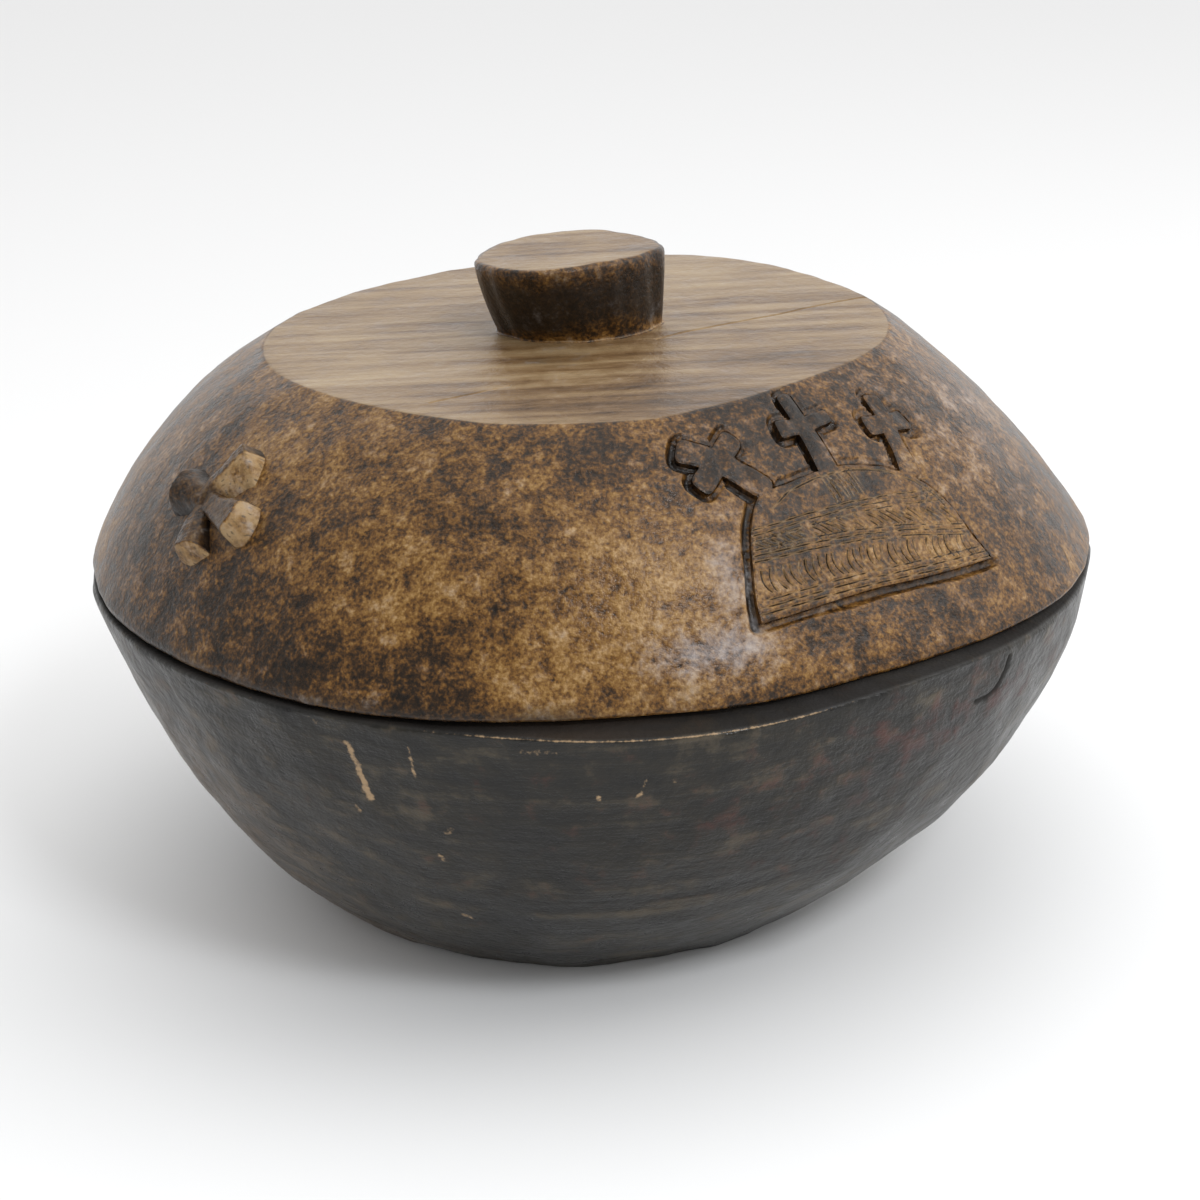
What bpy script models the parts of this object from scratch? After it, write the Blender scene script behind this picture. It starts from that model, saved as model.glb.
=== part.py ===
"""Hand-carved wooden food bowl with a domed, knobbed lid, at its real size.

The object is two pieces of wood. The bowl is hollowed out of one block and stands on a
flat foot. The lid is hollowed out of another block, and its knob, its crown-and-crosses
relief and its four-lobed boss are cut from that same block. The lid rests on the bowl's
rim, and a low spigot under it drops inside the bowl's mouth, so it lifts straight off.

Metres, +Z up, origin at the centre of the foot, the relief towards -Y and +X.
"""

import math

import bmesh
import bpy
from mathutils import Matrix, Vector

OBJECT_NAME = "carved_wooden_bowl"
CUTTER_COLLECTION = "carving_cutters"

TURN_STEPS = 64
MERGE_DISTANCE = 0.00001

# Bowl
RIM_RADIUS = 0.200
RIM_HEIGHT = 0.136
FOOT_RADIUS = 0.108
FOOT_EDGE = 0.006
BOWL_SIDE_TURN = math.radians(41)
MOUTH_RADIUS = 0.178
SEAT_HEIGHT = 0.1402
SEAT_WIDTH = 0.011
LEDGE_RADIUS = 0.1965
LEDGE_HEIGHT = 0.1378
BOWL_FLOOR = 0.021
BOWL_HOLLOW_SQUARENESS = 2.8

# Lid
SEAT_GAP = 0.0003
LID_RADIUS = 0.197
LID_EDGE = 0.002
SHOULDER_RADIUS = 0.124
SHOULDER_HEIGHT = 0.2235
LID_SIDE_TURN = math.radians(35)
SPIGOT_CLEARANCE = 0.002
SPIGOT_DEPTH = 0.008
SPIGOT_THICKNESS = 0.010
LID_TOP_THICKNESS = 0.018
LID_HOLLOW_SQUARENESS = 2.6

# Knob, cut from the lid's own block
KNOB_FOOT_RADIUS = 0.0325
KNOB_TOP_RADIUS = 0.0368
KNOB_HEIGHT = 0.0315
KNOB_LEAN = Vector((-0.0035, 0.0, 0.0))
KNOB_SINK = 0.006
KNOB_SIDES = 24
KNOB_EDGE = 0.002

# Relief on the lid's side: a crown with three crosses, left standing in a cut-down moat
RELIEF_AZIMUTH = math.radians(33)
RELIEF_RISE = 0.040
MOAT_DEPTH = 0.003
MOAT_WIDTH = 0.004
CUTTER_OVERHANG = 0.004
CROWN_HALF_WIDTH = 0.0495
CROWN_BASE = -0.0145
CROWN_RISE = 0.0505
CROWN_SQUARENESS = (3.6, 2.4)
CROWN_ARC_STEPS = 10
CROSS_ARM_WIDTH = 0.0085
# (centre across, centre up, lean to the left in degrees, foot, head and arm lengths)
CROSSES = (
    (-0.0485, 0.047, 55, 0.024, 0.0175, 0.0165),
    (0.001, 0.0535, 0, 0.024, 0.0115, 0.016),
    (0.0475, 0.045, -27, 0.024, 0.0125, 0.0155),
)
STRIP_WIDTH = 0.009

# Boss on the lid's other side: four blunt lobes rising away from a low middle
BOSS_AZIMUTH = math.radians(-54)
BOSS_RISE = 0.056
LOBE_TILT = math.radians(6)
LOBE_ROOT_RADIUS = 0.005
LOBE_OVERLAP = 0.004
LOBE_TIP_RADIUS = 0.0088
LOBE_SIDES = 12
# (direction round the boss in degrees, length)
LOBES = ((62, 0.025), (2, 0.029), (-70, 0.022), (165, 0.018))

BOWL_COLOUR = (0.030, 0.024, 0.021, 1.0)
LID_COLOUR = (0.145, 0.083, 0.040, 1.0)


def clear_scene() -> None:
    for item in list(bpy.data.objects):
        bpy.data.objects.remove(item, do_unlink=True)


def collection(name: str) -> bpy.types.Collection:
    made = bpy.data.collections.new(name)
    bpy.context.scene.collection.children.link(made)
    return made


def wood(name: str, colour: tuple, roughness: float) -> bpy.types.Material:
    material = bpy.data.materials.new(name)
    material.use_nodes = True
    shader = material.node_tree.nodes["Principled BSDF"]
    shader.inputs["Base Color"].default_value = colour
    shader.inputs["Roughness"].default_value = roughness
    shader.inputs["Metallic"].default_value = 0.0
    return material


class SideArc:
    """The bulging side of a turned body: an arc, in radius and height, from low to high."""

    def __init__(self, low: tuple, high: tuple, turn: float) -> None:
        chord = Vector(high) - Vector(low)
        self.radius = chord.length / (2 * math.sin(turn / 2))
        towards_axis = Vector((-chord.y, chord.x)).normalized()
        if towards_axis.x > 0:
            towards_axis = -towards_axis
        middle = (Vector(low) + Vector(high)) / 2
        self.centre = middle + towards_axis * self.radius * math.cos(turn / 2)
        first = Vector(low) - self.centre
        last = Vector(high) - self.centre
        self.start = math.atan2(first.y, first.x)
        self.end = math.atan2(last.y, last.x)

    def point(self, rise: float, lift: float = 0.0) -> tuple:
        """Radius and height at an arc length up the side, lifted off it by lift."""
        angle = self.start + rise / self.radius
        reach = self.radius + lift
        return (
            self.centre.x + reach * math.cos(angle),
            self.centre.y + reach * math.sin(angle),
        )

    def downwards(self, steps: int) -> list:
        """Points from the high end to the low end."""
        length = self.radius * (self.end - self.start)
        return [self.point(length * (1 - i / steps)) for i in range(steps + 1)]


def hollow_profile(radius: float, mouth: float, depth: float, power: float, steps: int) -> list:
    """A superellipse from the mouth's edge to the axis; negative depth goes down."""
    points = []
    for i in range(steps + 1):
        angle = math.pi / 2 * i / steps
        across = radius * math.cos(angle) ** (2 / power)
        along = depth * math.sin(angle) ** (2 / power)
        points.append((across, mouth + along))
    points[-1] = (0.0, mouth + depth)
    return points


def turned(name: str, profile: list) -> bpy.types.Object:
    """A body of revolution whose profile runs from the axis out and down its outer side."""
    mesh = bpy.data.meshes.new(name)
    points = [(r, 0.0, z) for r, z in profile]
    mesh.from_pydata(points, [(i, i + 1) for i in range(len(points) - 1)], [])
    body = bpy.data.objects.new(name, mesh)
    screw = body.modifiers.new("turn", "SCREW")
    screw.axis = "Z"
    screw.steps = TURN_STEPS
    screw.render_steps = TURN_STEPS
    screw.use_merge_vertices = True
    screw.merge_threshold = MERGE_DISTANCE
    screw.use_smooth_shade = True
    return body


def as_mesh(source: bpy.types.Object, home: bpy.types.Collection) -> bpy.types.Object:
    """The same object as a welded mesh with its modifiers applied."""
    if source.name not in home.objects:
        home.objects.link(source)
    bpy.context.view_layer.update()
    graph = bpy.context.evaluated_depsgraph_get()
    mesh = bpy.data.meshes.new_from_object(source.evaluated_get(graph))
    made = bpy.data.objects.new("meshed", mesh)
    made.matrix_world = source.matrix_world
    name = source.name
    bpy.data.objects.remove(source, do_unlink=True)
    made.name = name
    home.objects.link(made)
    edit = bmesh.new()
    edit.from_mesh(mesh)
    bmesh.ops.remove_doubles(edit, verts=edit.verts, dist=MERGE_DISTANCE)
    edit.to_mesh(mesh)
    edit.free()
    return made


def hide_cutter(cutter: bpy.types.Object) -> None:
    cutter.hide_render = True
    cutter.display_type = "WIRE"


def boolean(target: bpy.types.Object, operand: bpy.types.Object, operation: str) -> None:
    step = target.modifiers.new(f"{operation.lower()}_{operand.name}", "BOOLEAN")
    step.operation = operation
    step.solver = "EXACT"
    step.object = operand
    hide_cutter(operand)


def crown_outline(grow: float) -> list:
    """The crown's outline in across and up, flat at its base and round-shouldered above."""
    half, rise = CROWN_HALF_WIDTH + grow, CROWN_RISE + grow
    points = [(-half, CROWN_BASE - grow), (half, CROWN_BASE - grow)]
    left_power, right_power = CROWN_SQUARENESS
    for i in range(1, 2 * CROWN_ARC_STEPS):
        angle = math.pi * i / (2 * CROWN_ARC_STEPS)
        power = right_power if math.cos(angle) > 0 else left_power
        across = half * math.copysign(abs(math.cos(angle)) ** (2 / power), math.cos(angle))
        points.append((across, CROWN_BASE + rise * math.sin(angle) ** (2 / power)))
    return points


def cross_outline(cross: tuple, grow: float) -> list:
    """One Latin cross, leaning by its own angle, with its foot inside the crown."""
    across, up, lean, foot, head, arm = cross
    half = CROSS_ARM_WIDTH / 2 + grow
    head, arm = head + grow, arm + grow
    upright = [
        (-half, -foot), (half, -foot), (half, -half), (arm, -half), (arm, half), (half, half),
        (half, head), (-half, head), (-half, half), (-arm, half), (-arm, -half), (-half, -half),
    ]
    turn = Matrix.Rotation(math.radians(lean), 2)
    return [tuple(Vector((across, up)) + turn @ Vector(point)) for point in upright]


def side_point(side: SideArc, azimuth: float, rise: float, lift: float) -> Vector:
    radius, height = side.point(rise, lift)
    return Vector((radius * math.sin(azimuth), -radius * math.cos(azimuth), height))


def relief_prism(
    name: str, outline: list, low: float, high: float, side: SideArc, home: bpy.types.Collection
) -> bpy.types.Object:
    """A flat outline thickened between two lifts and bent round the lid's side."""
    curve = bpy.data.curves.new(name, "CURVE")
    curve.dimensions = "2D"
    curve.fill_mode = "BOTH"
    curve.extrude = (high - low) / 2
    spline = curve.splines.new("POLY")
    spline.points.add(len(outline) - 1)
    for point, (across, up) in zip(spline.points, outline):
        point.co = (across, up, 0.0, 1.0)
    spline.use_cyclic_u = True
    prism = as_mesh(bpy.data.objects.new(name, curve), home)

    reference = side.point(RELIEF_RISE)[0]
    edit = bmesh.new()
    edit.from_mesh(prism.data)
    for axis in (Vector((1, 0, 0)), Vector((0, 1, 0))):
        reach = [vert.co.dot(axis) for vert in edit.verts]
        cuts = int((max(reach) - min(reach)) / STRIP_WIDTH)
        for i in range(1, cuts + 1):
            everything = edit.verts[:] + edit.edges[:] + edit.faces[:]
            place = axis * (min(reach) + i * STRIP_WIDTH)
            bmesh.ops.bisect_plane(edit, geom=everything, plane_co=place, plane_no=axis)
    middle = (low + high) / 2
    for vert in edit.verts:
        azimuth = RELIEF_AZIMUTH + vert.co.x / reference
        vert.co = side_point(side, azimuth, RELIEF_RISE + vert.co.y, vert.co.z + middle)
    bmesh.ops.triangulate(edit, faces=edit.faces)
    bmesh.ops.recalc_face_normals(edit, faces=edit.faces)
    edit.to_mesh(prism.data)
    edit.free()
    return prism


def relief_cutter(side: SideArc, home: bpy.types.Collection) -> bpy.types.Object:
    """The moat round the crown and its crosses: their grown outlines less themselves."""
    outlines = {"crown": crown_outline}
    for number, cross in enumerate(CROSSES, 1):
        outlines[f"cross_{number}"] = lambda grow, cross=cross: cross_outline(cross, grow)
    pockets, figures = [], []
    for index, (name, outline) in enumerate(outlines.items()):
        # each floor lies a hair lower than the last, so that no two faces coincide
        floor = -MOAT_DEPTH - index * 0.00005
        roof = CUTTER_OVERHANG + index * 0.0001
        pockets.append(
            relief_prism(f"{name}_pocket", outline(MOAT_WIDTH), floor, roof, side, home)
        )
        figures.append(
            relief_prism(f"{name}_figure", outline(0.0), 2 * floor, 2 * roof, side, home)
        )
    moat = pockets[0]
    for pocket in pockets[1:]:
        boolean(moat, pocket, "UNION")
    for figure in figures:
        boolean(moat, figure, "DIFFERENCE")
    return moat


def boss_lobes(side: SideArc, home: bpy.types.Collection) -> list:
    """Blunt cones lying on the lid's side, thin at the boss's middle and raised at the tip."""
    centre = side_point(side, BOSS_AZIMUTH, BOSS_RISE, 0.0)
    outward = (side_point(side, BOSS_AZIMUTH, BOSS_RISE, 1.0) - centre).normalized()
    across = Vector((math.cos(BOSS_AZIMUTH), math.sin(BOSS_AZIMUTH), 0.0))
    up = outward.cross(across)
    lobes = []
    for number, (direction, length) in enumerate(LOBES, 1):
        angle = math.radians(direction)
        along = across * math.cos(angle) + up * math.sin(angle)
        axis = along * math.cos(LOBE_TILT) + outward * math.sin(LOBE_TILT)
        mesh = bpy.data.meshes.new(f"lobe_{number}")
        edit = bmesh.new()
        bmesh.ops.create_cone(
            edit, cap_ends=True, segments=LOBE_SIDES, depth=length,
            radius1=LOBE_ROOT_RADIUS, radius2=LOBE_TIP_RADIUS,
        )
        place = Matrix.Translation(centre + axis * (length / 2 - LOBE_OVERLAP))
        turn = axis.to_track_quat("Z", "Y").to_matrix().to_4x4()
        bmesh.ops.transform(edit, matrix=place @ turn, verts=edit.verts)
        edit.to_mesh(mesh)
        edit.free()
        lobe = bpy.data.objects.new(f"lobe_{number}", mesh)
        home.objects.link(lobe)
        lobes.append(lobe)
    return lobes


def knob(home: bpy.types.Collection) -> bpy.types.Object:
    """A squat grip, wider at the top and leaning to the left, sunk a little into the lid."""
    mesh = bpy.data.meshes.new("knob")
    edit = bmesh.new()
    flare = (KNOB_TOP_RADIUS - KNOB_FOOT_RADIUS) / KNOB_HEIGHT
    bmesh.ops.create_cone(
        edit, cap_ends=True, segments=KNOB_SIDES, depth=KNOB_HEIGHT + KNOB_SINK,
        radius1=KNOB_FOOT_RADIUS - flare * KNOB_SINK, radius2=KNOB_TOP_RADIUS,
    )
    centre = SHOULDER_HEIGHT + (KNOB_HEIGHT - KNOB_SINK) / 2
    bmesh.ops.translate(edit, vec=(0, 0, centre), verts=edit.verts)
    for vert in edit.verts:
        if vert.co.z > centre:
            vert.co += KNOB_LEAN
    rim = [edge for edge in edit.edges if all(vert.co.z > centre for vert in edge.verts)]
    bmesh.ops.bevel(edit, geom=rim, offset=KNOB_EDGE, segments=2, profile=0.5, affect="EDGES")
    edit.to_mesh(mesh)
    edit.free()
    grip = bpy.data.objects.new("knob", mesh)
    home.objects.link(grip)
    return grip


def smooth(body: bpy.types.Object) -> None:
    body.data.shade_smooth()
    body.data.set_sharp_from_angle(angle=math.radians(35))


def build_bowl(parts: bpy.types.Collection) -> bpy.types.Object:
    side = SideArc((FOOT_RADIUS + FOOT_EDGE, FOOT_EDGE / 3), (RIM_RADIUS, RIM_HEIGHT), BOWL_SIDE_TURN)
    hollow = hollow_profile(
        MOUTH_RADIUS, SEAT_HEIGHT, BOWL_FLOOR - SEAT_HEIGHT, BOWL_HOLLOW_SQUARENESS, 13
    )
    profile = hollow[::-1]
    profile += [(MOUTH_RADIUS + SEAT_WIDTH, SEAT_HEIGHT), (LEDGE_RADIUS, LEDGE_HEIGHT)]
    profile += side.downwards(12)
    profile += [(FOOT_RADIUS, 0.0), (0.0, 0.0)]
    bowl = as_mesh(turned("bowl", profile), parts)
    smooth(bowl)
    bowl.data.materials.append(wood("bowl_wood", BOWL_COLOUR, 0.42))
    return bowl


def build_lid(parts: bpy.types.Collection, cutters: bpy.types.Collection) -> bpy.types.Object:
    underside = SEAT_HEIGHT + SEAT_GAP
    side = SideArc(
        (LID_RADIUS, underside + LID_EDGE), (SHOULDER_RADIUS, SHOULDER_HEIGHT), LID_SIDE_TURN
    )
    spigot_radius = MOUTH_RADIUS - SPIGOT_CLEARANCE
    spigot_foot = underside - SPIGOT_DEPTH
    hollow_height = SHOULDER_HEIGHT - LID_TOP_THICKNESS - spigot_foot
    profile = [(0.0, SHOULDER_HEIGHT)]
    profile += side.downwards(12)
    profile += [(LID_RADIUS - LID_EDGE, underside), (spigot_radius, underside)]
    profile += [(spigot_radius, spigot_foot)]
    profile += hollow_profile(
        spigot_radius - SPIGOT_THICKNESS, spigot_foot, hollow_height, LID_HOLLOW_SQUARENESS, 12
    )
    lid = as_mesh(turned("lid", profile), parts)
    boolean(lid, knob(cutters), "UNION")
    for lobe in boss_lobes(side, cutters):
        boolean(lid, lobe, "UNION")
    boolean(lid, relief_cutter(side, cutters), "DIFFERENCE")
    smooth(lid)
    lid.data.materials.append(wood("lid_wood", LID_COLOUR, 0.45))
    return lid


def main() -> None:
    clear_scene()
    parts = collection(OBJECT_NAME)
    cutters = collection(CUTTER_COLLECTION)
    build_bowl(parts)
    build_lid(parts, cutters)


main()
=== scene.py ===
"""The looks of a hand-carved wooden food bowl with a domed, knobbed lid.

The bowl and the lid are two blocks of the same dark, oiled wood. Each is drawn as rows of
points round an upright axis, with the small unevenness that hand carving leaves, and then
gets its adze marks, cracks and scratches. The lid's crown-and-crosses relief and its
four-lobed boss are cut from the lid's own block and ride with it.

Metres, +Z up. Azimuths start at the front, towards -Y, and grow towards +X.
"""

import logging
import math
from dataclasses import dataclass, field
from enum import Enum
from typing import Callable, Sequence, Union

import bmesh
import bpy
import numpy as np
from mathutils import Matrix, Vector


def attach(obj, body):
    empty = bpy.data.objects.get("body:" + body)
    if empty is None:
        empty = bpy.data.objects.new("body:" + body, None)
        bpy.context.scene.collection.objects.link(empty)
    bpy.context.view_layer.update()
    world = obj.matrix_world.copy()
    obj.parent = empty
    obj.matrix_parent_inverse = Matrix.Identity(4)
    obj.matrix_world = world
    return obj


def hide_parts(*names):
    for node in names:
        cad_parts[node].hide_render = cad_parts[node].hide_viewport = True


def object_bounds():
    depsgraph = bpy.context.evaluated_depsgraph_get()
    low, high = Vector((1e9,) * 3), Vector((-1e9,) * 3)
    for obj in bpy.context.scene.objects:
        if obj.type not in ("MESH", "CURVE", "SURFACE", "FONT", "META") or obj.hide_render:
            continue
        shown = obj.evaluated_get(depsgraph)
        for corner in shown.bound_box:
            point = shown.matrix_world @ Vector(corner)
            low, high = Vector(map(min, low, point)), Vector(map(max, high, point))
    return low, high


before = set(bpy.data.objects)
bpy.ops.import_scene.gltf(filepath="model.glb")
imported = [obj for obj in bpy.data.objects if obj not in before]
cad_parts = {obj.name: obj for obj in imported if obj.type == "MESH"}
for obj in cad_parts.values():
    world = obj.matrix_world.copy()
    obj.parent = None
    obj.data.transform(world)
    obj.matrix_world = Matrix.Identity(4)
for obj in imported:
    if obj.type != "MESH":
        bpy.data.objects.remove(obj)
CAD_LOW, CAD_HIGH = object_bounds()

MM = 0.001
WELD = 0.000002
ROUNDING_MOST = 0.48  # a rounding takes up at most this share of a side

Marks = Sequence[tuple[float, float]]
Point2 = tuple[float, float]
Socket = bpy.types.NodeSocket
Value = Union[float, int, bool, tuple, str, Socket]

log = logging.getLogger("carved_bowl")


class Body(Enum):
    """The moving bodies of the model."""

    BOWL = "bowl"
    LID = "lid"


class Slot(Enum):
    """The record's material slots."""

    BOWL = "bowl_wood"
    LID = "lid_wood"


class Trait(Enum):
    """Names of the point attributes that the finishes read."""

    TOP = "top"
    SOOT = "soot"
    GLOW = "glow"
    WORN = "worn"
    CUT = "cut"
    INSIDE = "inside"
    TOOLED = "tooled"
    RED = "red"
    BLOOM = "bloom"
    OUTWARD = "outward"


# ---------------------------------------------------------------- numbers and curves


def ease(low: float, high: float, value: np.ndarray) -> np.ndarray:
    """A smooth step from 0 at low to 1 at high."""
    share = np.clip((value - low) / (high - low), 0.0, 1.0)
    return share * share * (3.0 - 2.0 * share)


def mixed(first: np.ndarray, second: np.ndarray, share: np.ndarray) -> np.ndarray:
    """A plain mix of two values."""
    return first + (second - first) * share


def ripple(azimuth: np.ndarray, waves: Sequence[tuple[int, float, float]]) -> np.ndarray:
    """A sum of waves round the axis.

    Args:
        azimuth: Angles in radians.
        waves: (turns, height, phase) of each wave.

    Returns:
        The sum at each angle.
    """
    total = np.zeros_like(azimuth)
    for turns, height, phase in waves:
        total = total + height * np.sin(turns * azimuth + phase)
    return total


def spot(across: np.ndarray, up: np.ndarray, place: Point2, reach: Point2) -> np.ndarray:
    """A soft round patch: 1 at its place, and fading to 0 beyond its reach."""
    return np.exp(-(((across - place[0]) / reach[0]) ** 2) - ((up - place[1]) / reach[1]) ** 2)


def spots(across: np.ndarray, up: np.ndarray, marks: Sequence[tuple]) -> np.ndarray:
    """A sum of soft patches; each mark is (strength, place, reach)."""
    return sum(strength * spot(across, up, place, reach) for strength, place, reach in marks)


def band(value: np.ndarray, middle: float, reach: float) -> np.ndarray:
    """A soft stripe: 1 in its middle, and fading to 0 beyond its reach."""
    return np.exp(-2 * ((value - middle) / reach) ** 2)


def corner(first: tuple, turn: tuple, last: tuple, share: np.ndarray) -> tuple:
    """Points on the rounding between two surfaces.

    Args:
        first: Radius and height where the rounding starts.
        turn: Radius and height of the sharp corner.
        last: Radius and height where it ends.
        share: How far along, from 0 to 1.

    Returns:
        Radius and height arrays.
    """
    ends, middle, rest = (1 - share) ** 2, 2 * share * (1 - share), share**2
    return tuple(first[i] * ends + turn[i] * middle + last[i] * rest for i in (0, 1))


def bulge(low: tuple, high: tuple, turn: np.ndarray, share: np.ndarray) -> tuple:
    """Points on an outward arc.

    Args:
        low: Radius and height of the lower end.
        high: Radius and height of the upper end.
        turn: Angle that the arc turns through, in radians.
        share: How far up, from 0 to 1.

    Returns:
        Radius and height arrays.
    """
    across, up = high[0] - low[0], high[1] - low[1]
    chord = np.hypot(across, up)
    radius = chord / (2 * np.sin(turn / 2))
    out_r, out_z = up / chord, -across / chord
    back = radius * np.cos(turn / 2)
    centre_r = (low[0] + high[0]) / 2 - out_r * back
    centre_z = (low[1] + high[1]) / 2 - out_z * back
    start = np.arctan2(low[1] - centre_z, low[0] - centre_r)
    angle = start + turn * share
    return centre_r + radius * np.cos(angle), centre_z + radius * np.sin(angle)


def superarc(share: np.ndarray, wide: float, deep: float, power: float) -> tuple:
    """A quarter of a rounded-square arc, for a hollow.

    Args:
        share: How far along, from 0 at the mouth to 1 at the pole.
        wide: The mouth's radius.
        deep: The pole's distance from the mouth.
        power: 2 makes an ellipse, and more is squarer.

    Returns:
        Radius, and distance from the mouth.
    """
    angle = math.pi / 2 * share
    across = wide * np.clip(np.cos(angle), 0, 1) ** (2 / power)
    return np.where(share > 0.9999, 0.0, across), deep * np.sin(angle) ** (2 / power)


def from_line(across: np.ndarray, up: np.ndarray, start: Point2, end: Point2) -> tuple:
    """How far places lie from a straight line.

    Args:
        across: Places to the right.
        up: Places up.
        start: The line's start.
        end: The line's end.

    Returns:
        The distance, and across and up of the line's nearest place.
    """
    dx, dy = end[0] - start[0], end[1] - start[1]
    share = ((across - start[0]) * dx + (up - start[1]) * dy) / (dx * dx + dy * dy)
    share = np.clip(share, 0, 1)
    near_u, near_v = start[0] + share * dx, start[1] + share * dy
    return np.hypot(across - near_u, up - near_v), near_u, near_v


def from_path(across: np.ndarray, up: np.ndarray, path: Marks) -> np.ndarray:
    """How far places lie from a path of straight lines."""
    return np.min([from_line(across, up, *ends)[0] for ends in zip(path, path[1:])], axis=0)


class Around:
    """A measure that changes round the wood, from marks at azimuths in degrees."""

    def __init__(self, marks: Marks, soften: float = 3.0) -> None:
        """Softens the marks into a table, one value a degree.

        Args:
            marks: (azimuth in degrees, value) pairs.
            soften: The softening's spread in degrees.
        """
        places, values = np.array(sorted(marks), float).T
        self.grid = np.arange(-180.0, 180.0, 1.0)
        sharp = np.interp(self.grid, places, values, period=360.0)
        reach = np.arange(-12, 13)
        weights = np.exp(-((reach / soften) ** 2) / 2)
        weights /= weights.sum()
        self.table = sum(weight * np.roll(sharp, step) for weight, step in zip(weights, reach))

    def at(self, azimuth: np.ndarray) -> np.ndarray:
        """The measure at azimuths in radians."""
        return np.interp(np.degrees(azimuth), self.grid, self.table, period=360.0)


def rounded(points: Sequence[Point2], sharp: Sequence[int], radius: float) -> list[Point2]:
    """Rounds the corners of a closed outline, apart from the sharp ones.

    Args:
        points: The outline's corners in order.
        sharp: Indices of the corners to keep.
        radius: How far from its corner a rounding starts, at most.

    Returns:
        The new outline.
    """
    made = []
    for i, here in enumerate(points):
        if i in sharp:
            made.append(tuple(here))
            continue
        turn = Vector(here)
        before = Vector(points[i - 1]) - turn
        after = Vector(points[(i + 1) % len(points)]) - turn
        first = turn + before.normalized() * min(radius, before.length * ROUNDING_MOST)
        last = turn + after.normalized() * min(radius, after.length * ROUNDING_MOST)
        for share in (0.0, 0.25, 0.5, 0.75, 1.0):
            ends = first * (1 - share) ** 2 + last * share**2
            made.append(tuple(ends + turn * 2 * share * (1 - share)))
    return made


@dataclass(frozen=True)
class Outline:
    """A closed outline on the carving's flat drawing, in metres."""

    points: tuple

    def distance(self, across: np.ndarray, up: np.ndarray) -> tuple:
        """How far points lie from the outline.

        Args:
            across: Places to the right.
            up: Places up.

        Returns:
            The distance, negative inside, and the nearest place's across and up.
        """
        ring = np.array(self.points, float)
        best = np.full(across.shape, np.inf)
        near_u, near_v = np.zeros_like(across), np.zeros_like(up)
        inside = np.zeros(across.shape, bool)
        for start, end in zip(ring, np.roll(ring, -1, axis=0)):
            away, u, v = from_line(across, up, start, end)
            closer = away < best
            best = np.where(closer, away, best)
            near_u, near_v = np.where(closer, u, near_u), np.where(closer, v, near_v)
            (ax, ay), (bx, by) = start, end
            if ay != by:
                crosses = (ay > up) != (by > up)
                inside ^= crosses & (across < ax + (up - ay) / (by - ay) * (bx - ax))
        return np.where(inside, -best, best), near_u, near_v


# ---------------------------------------------------------------- node graphs


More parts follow.
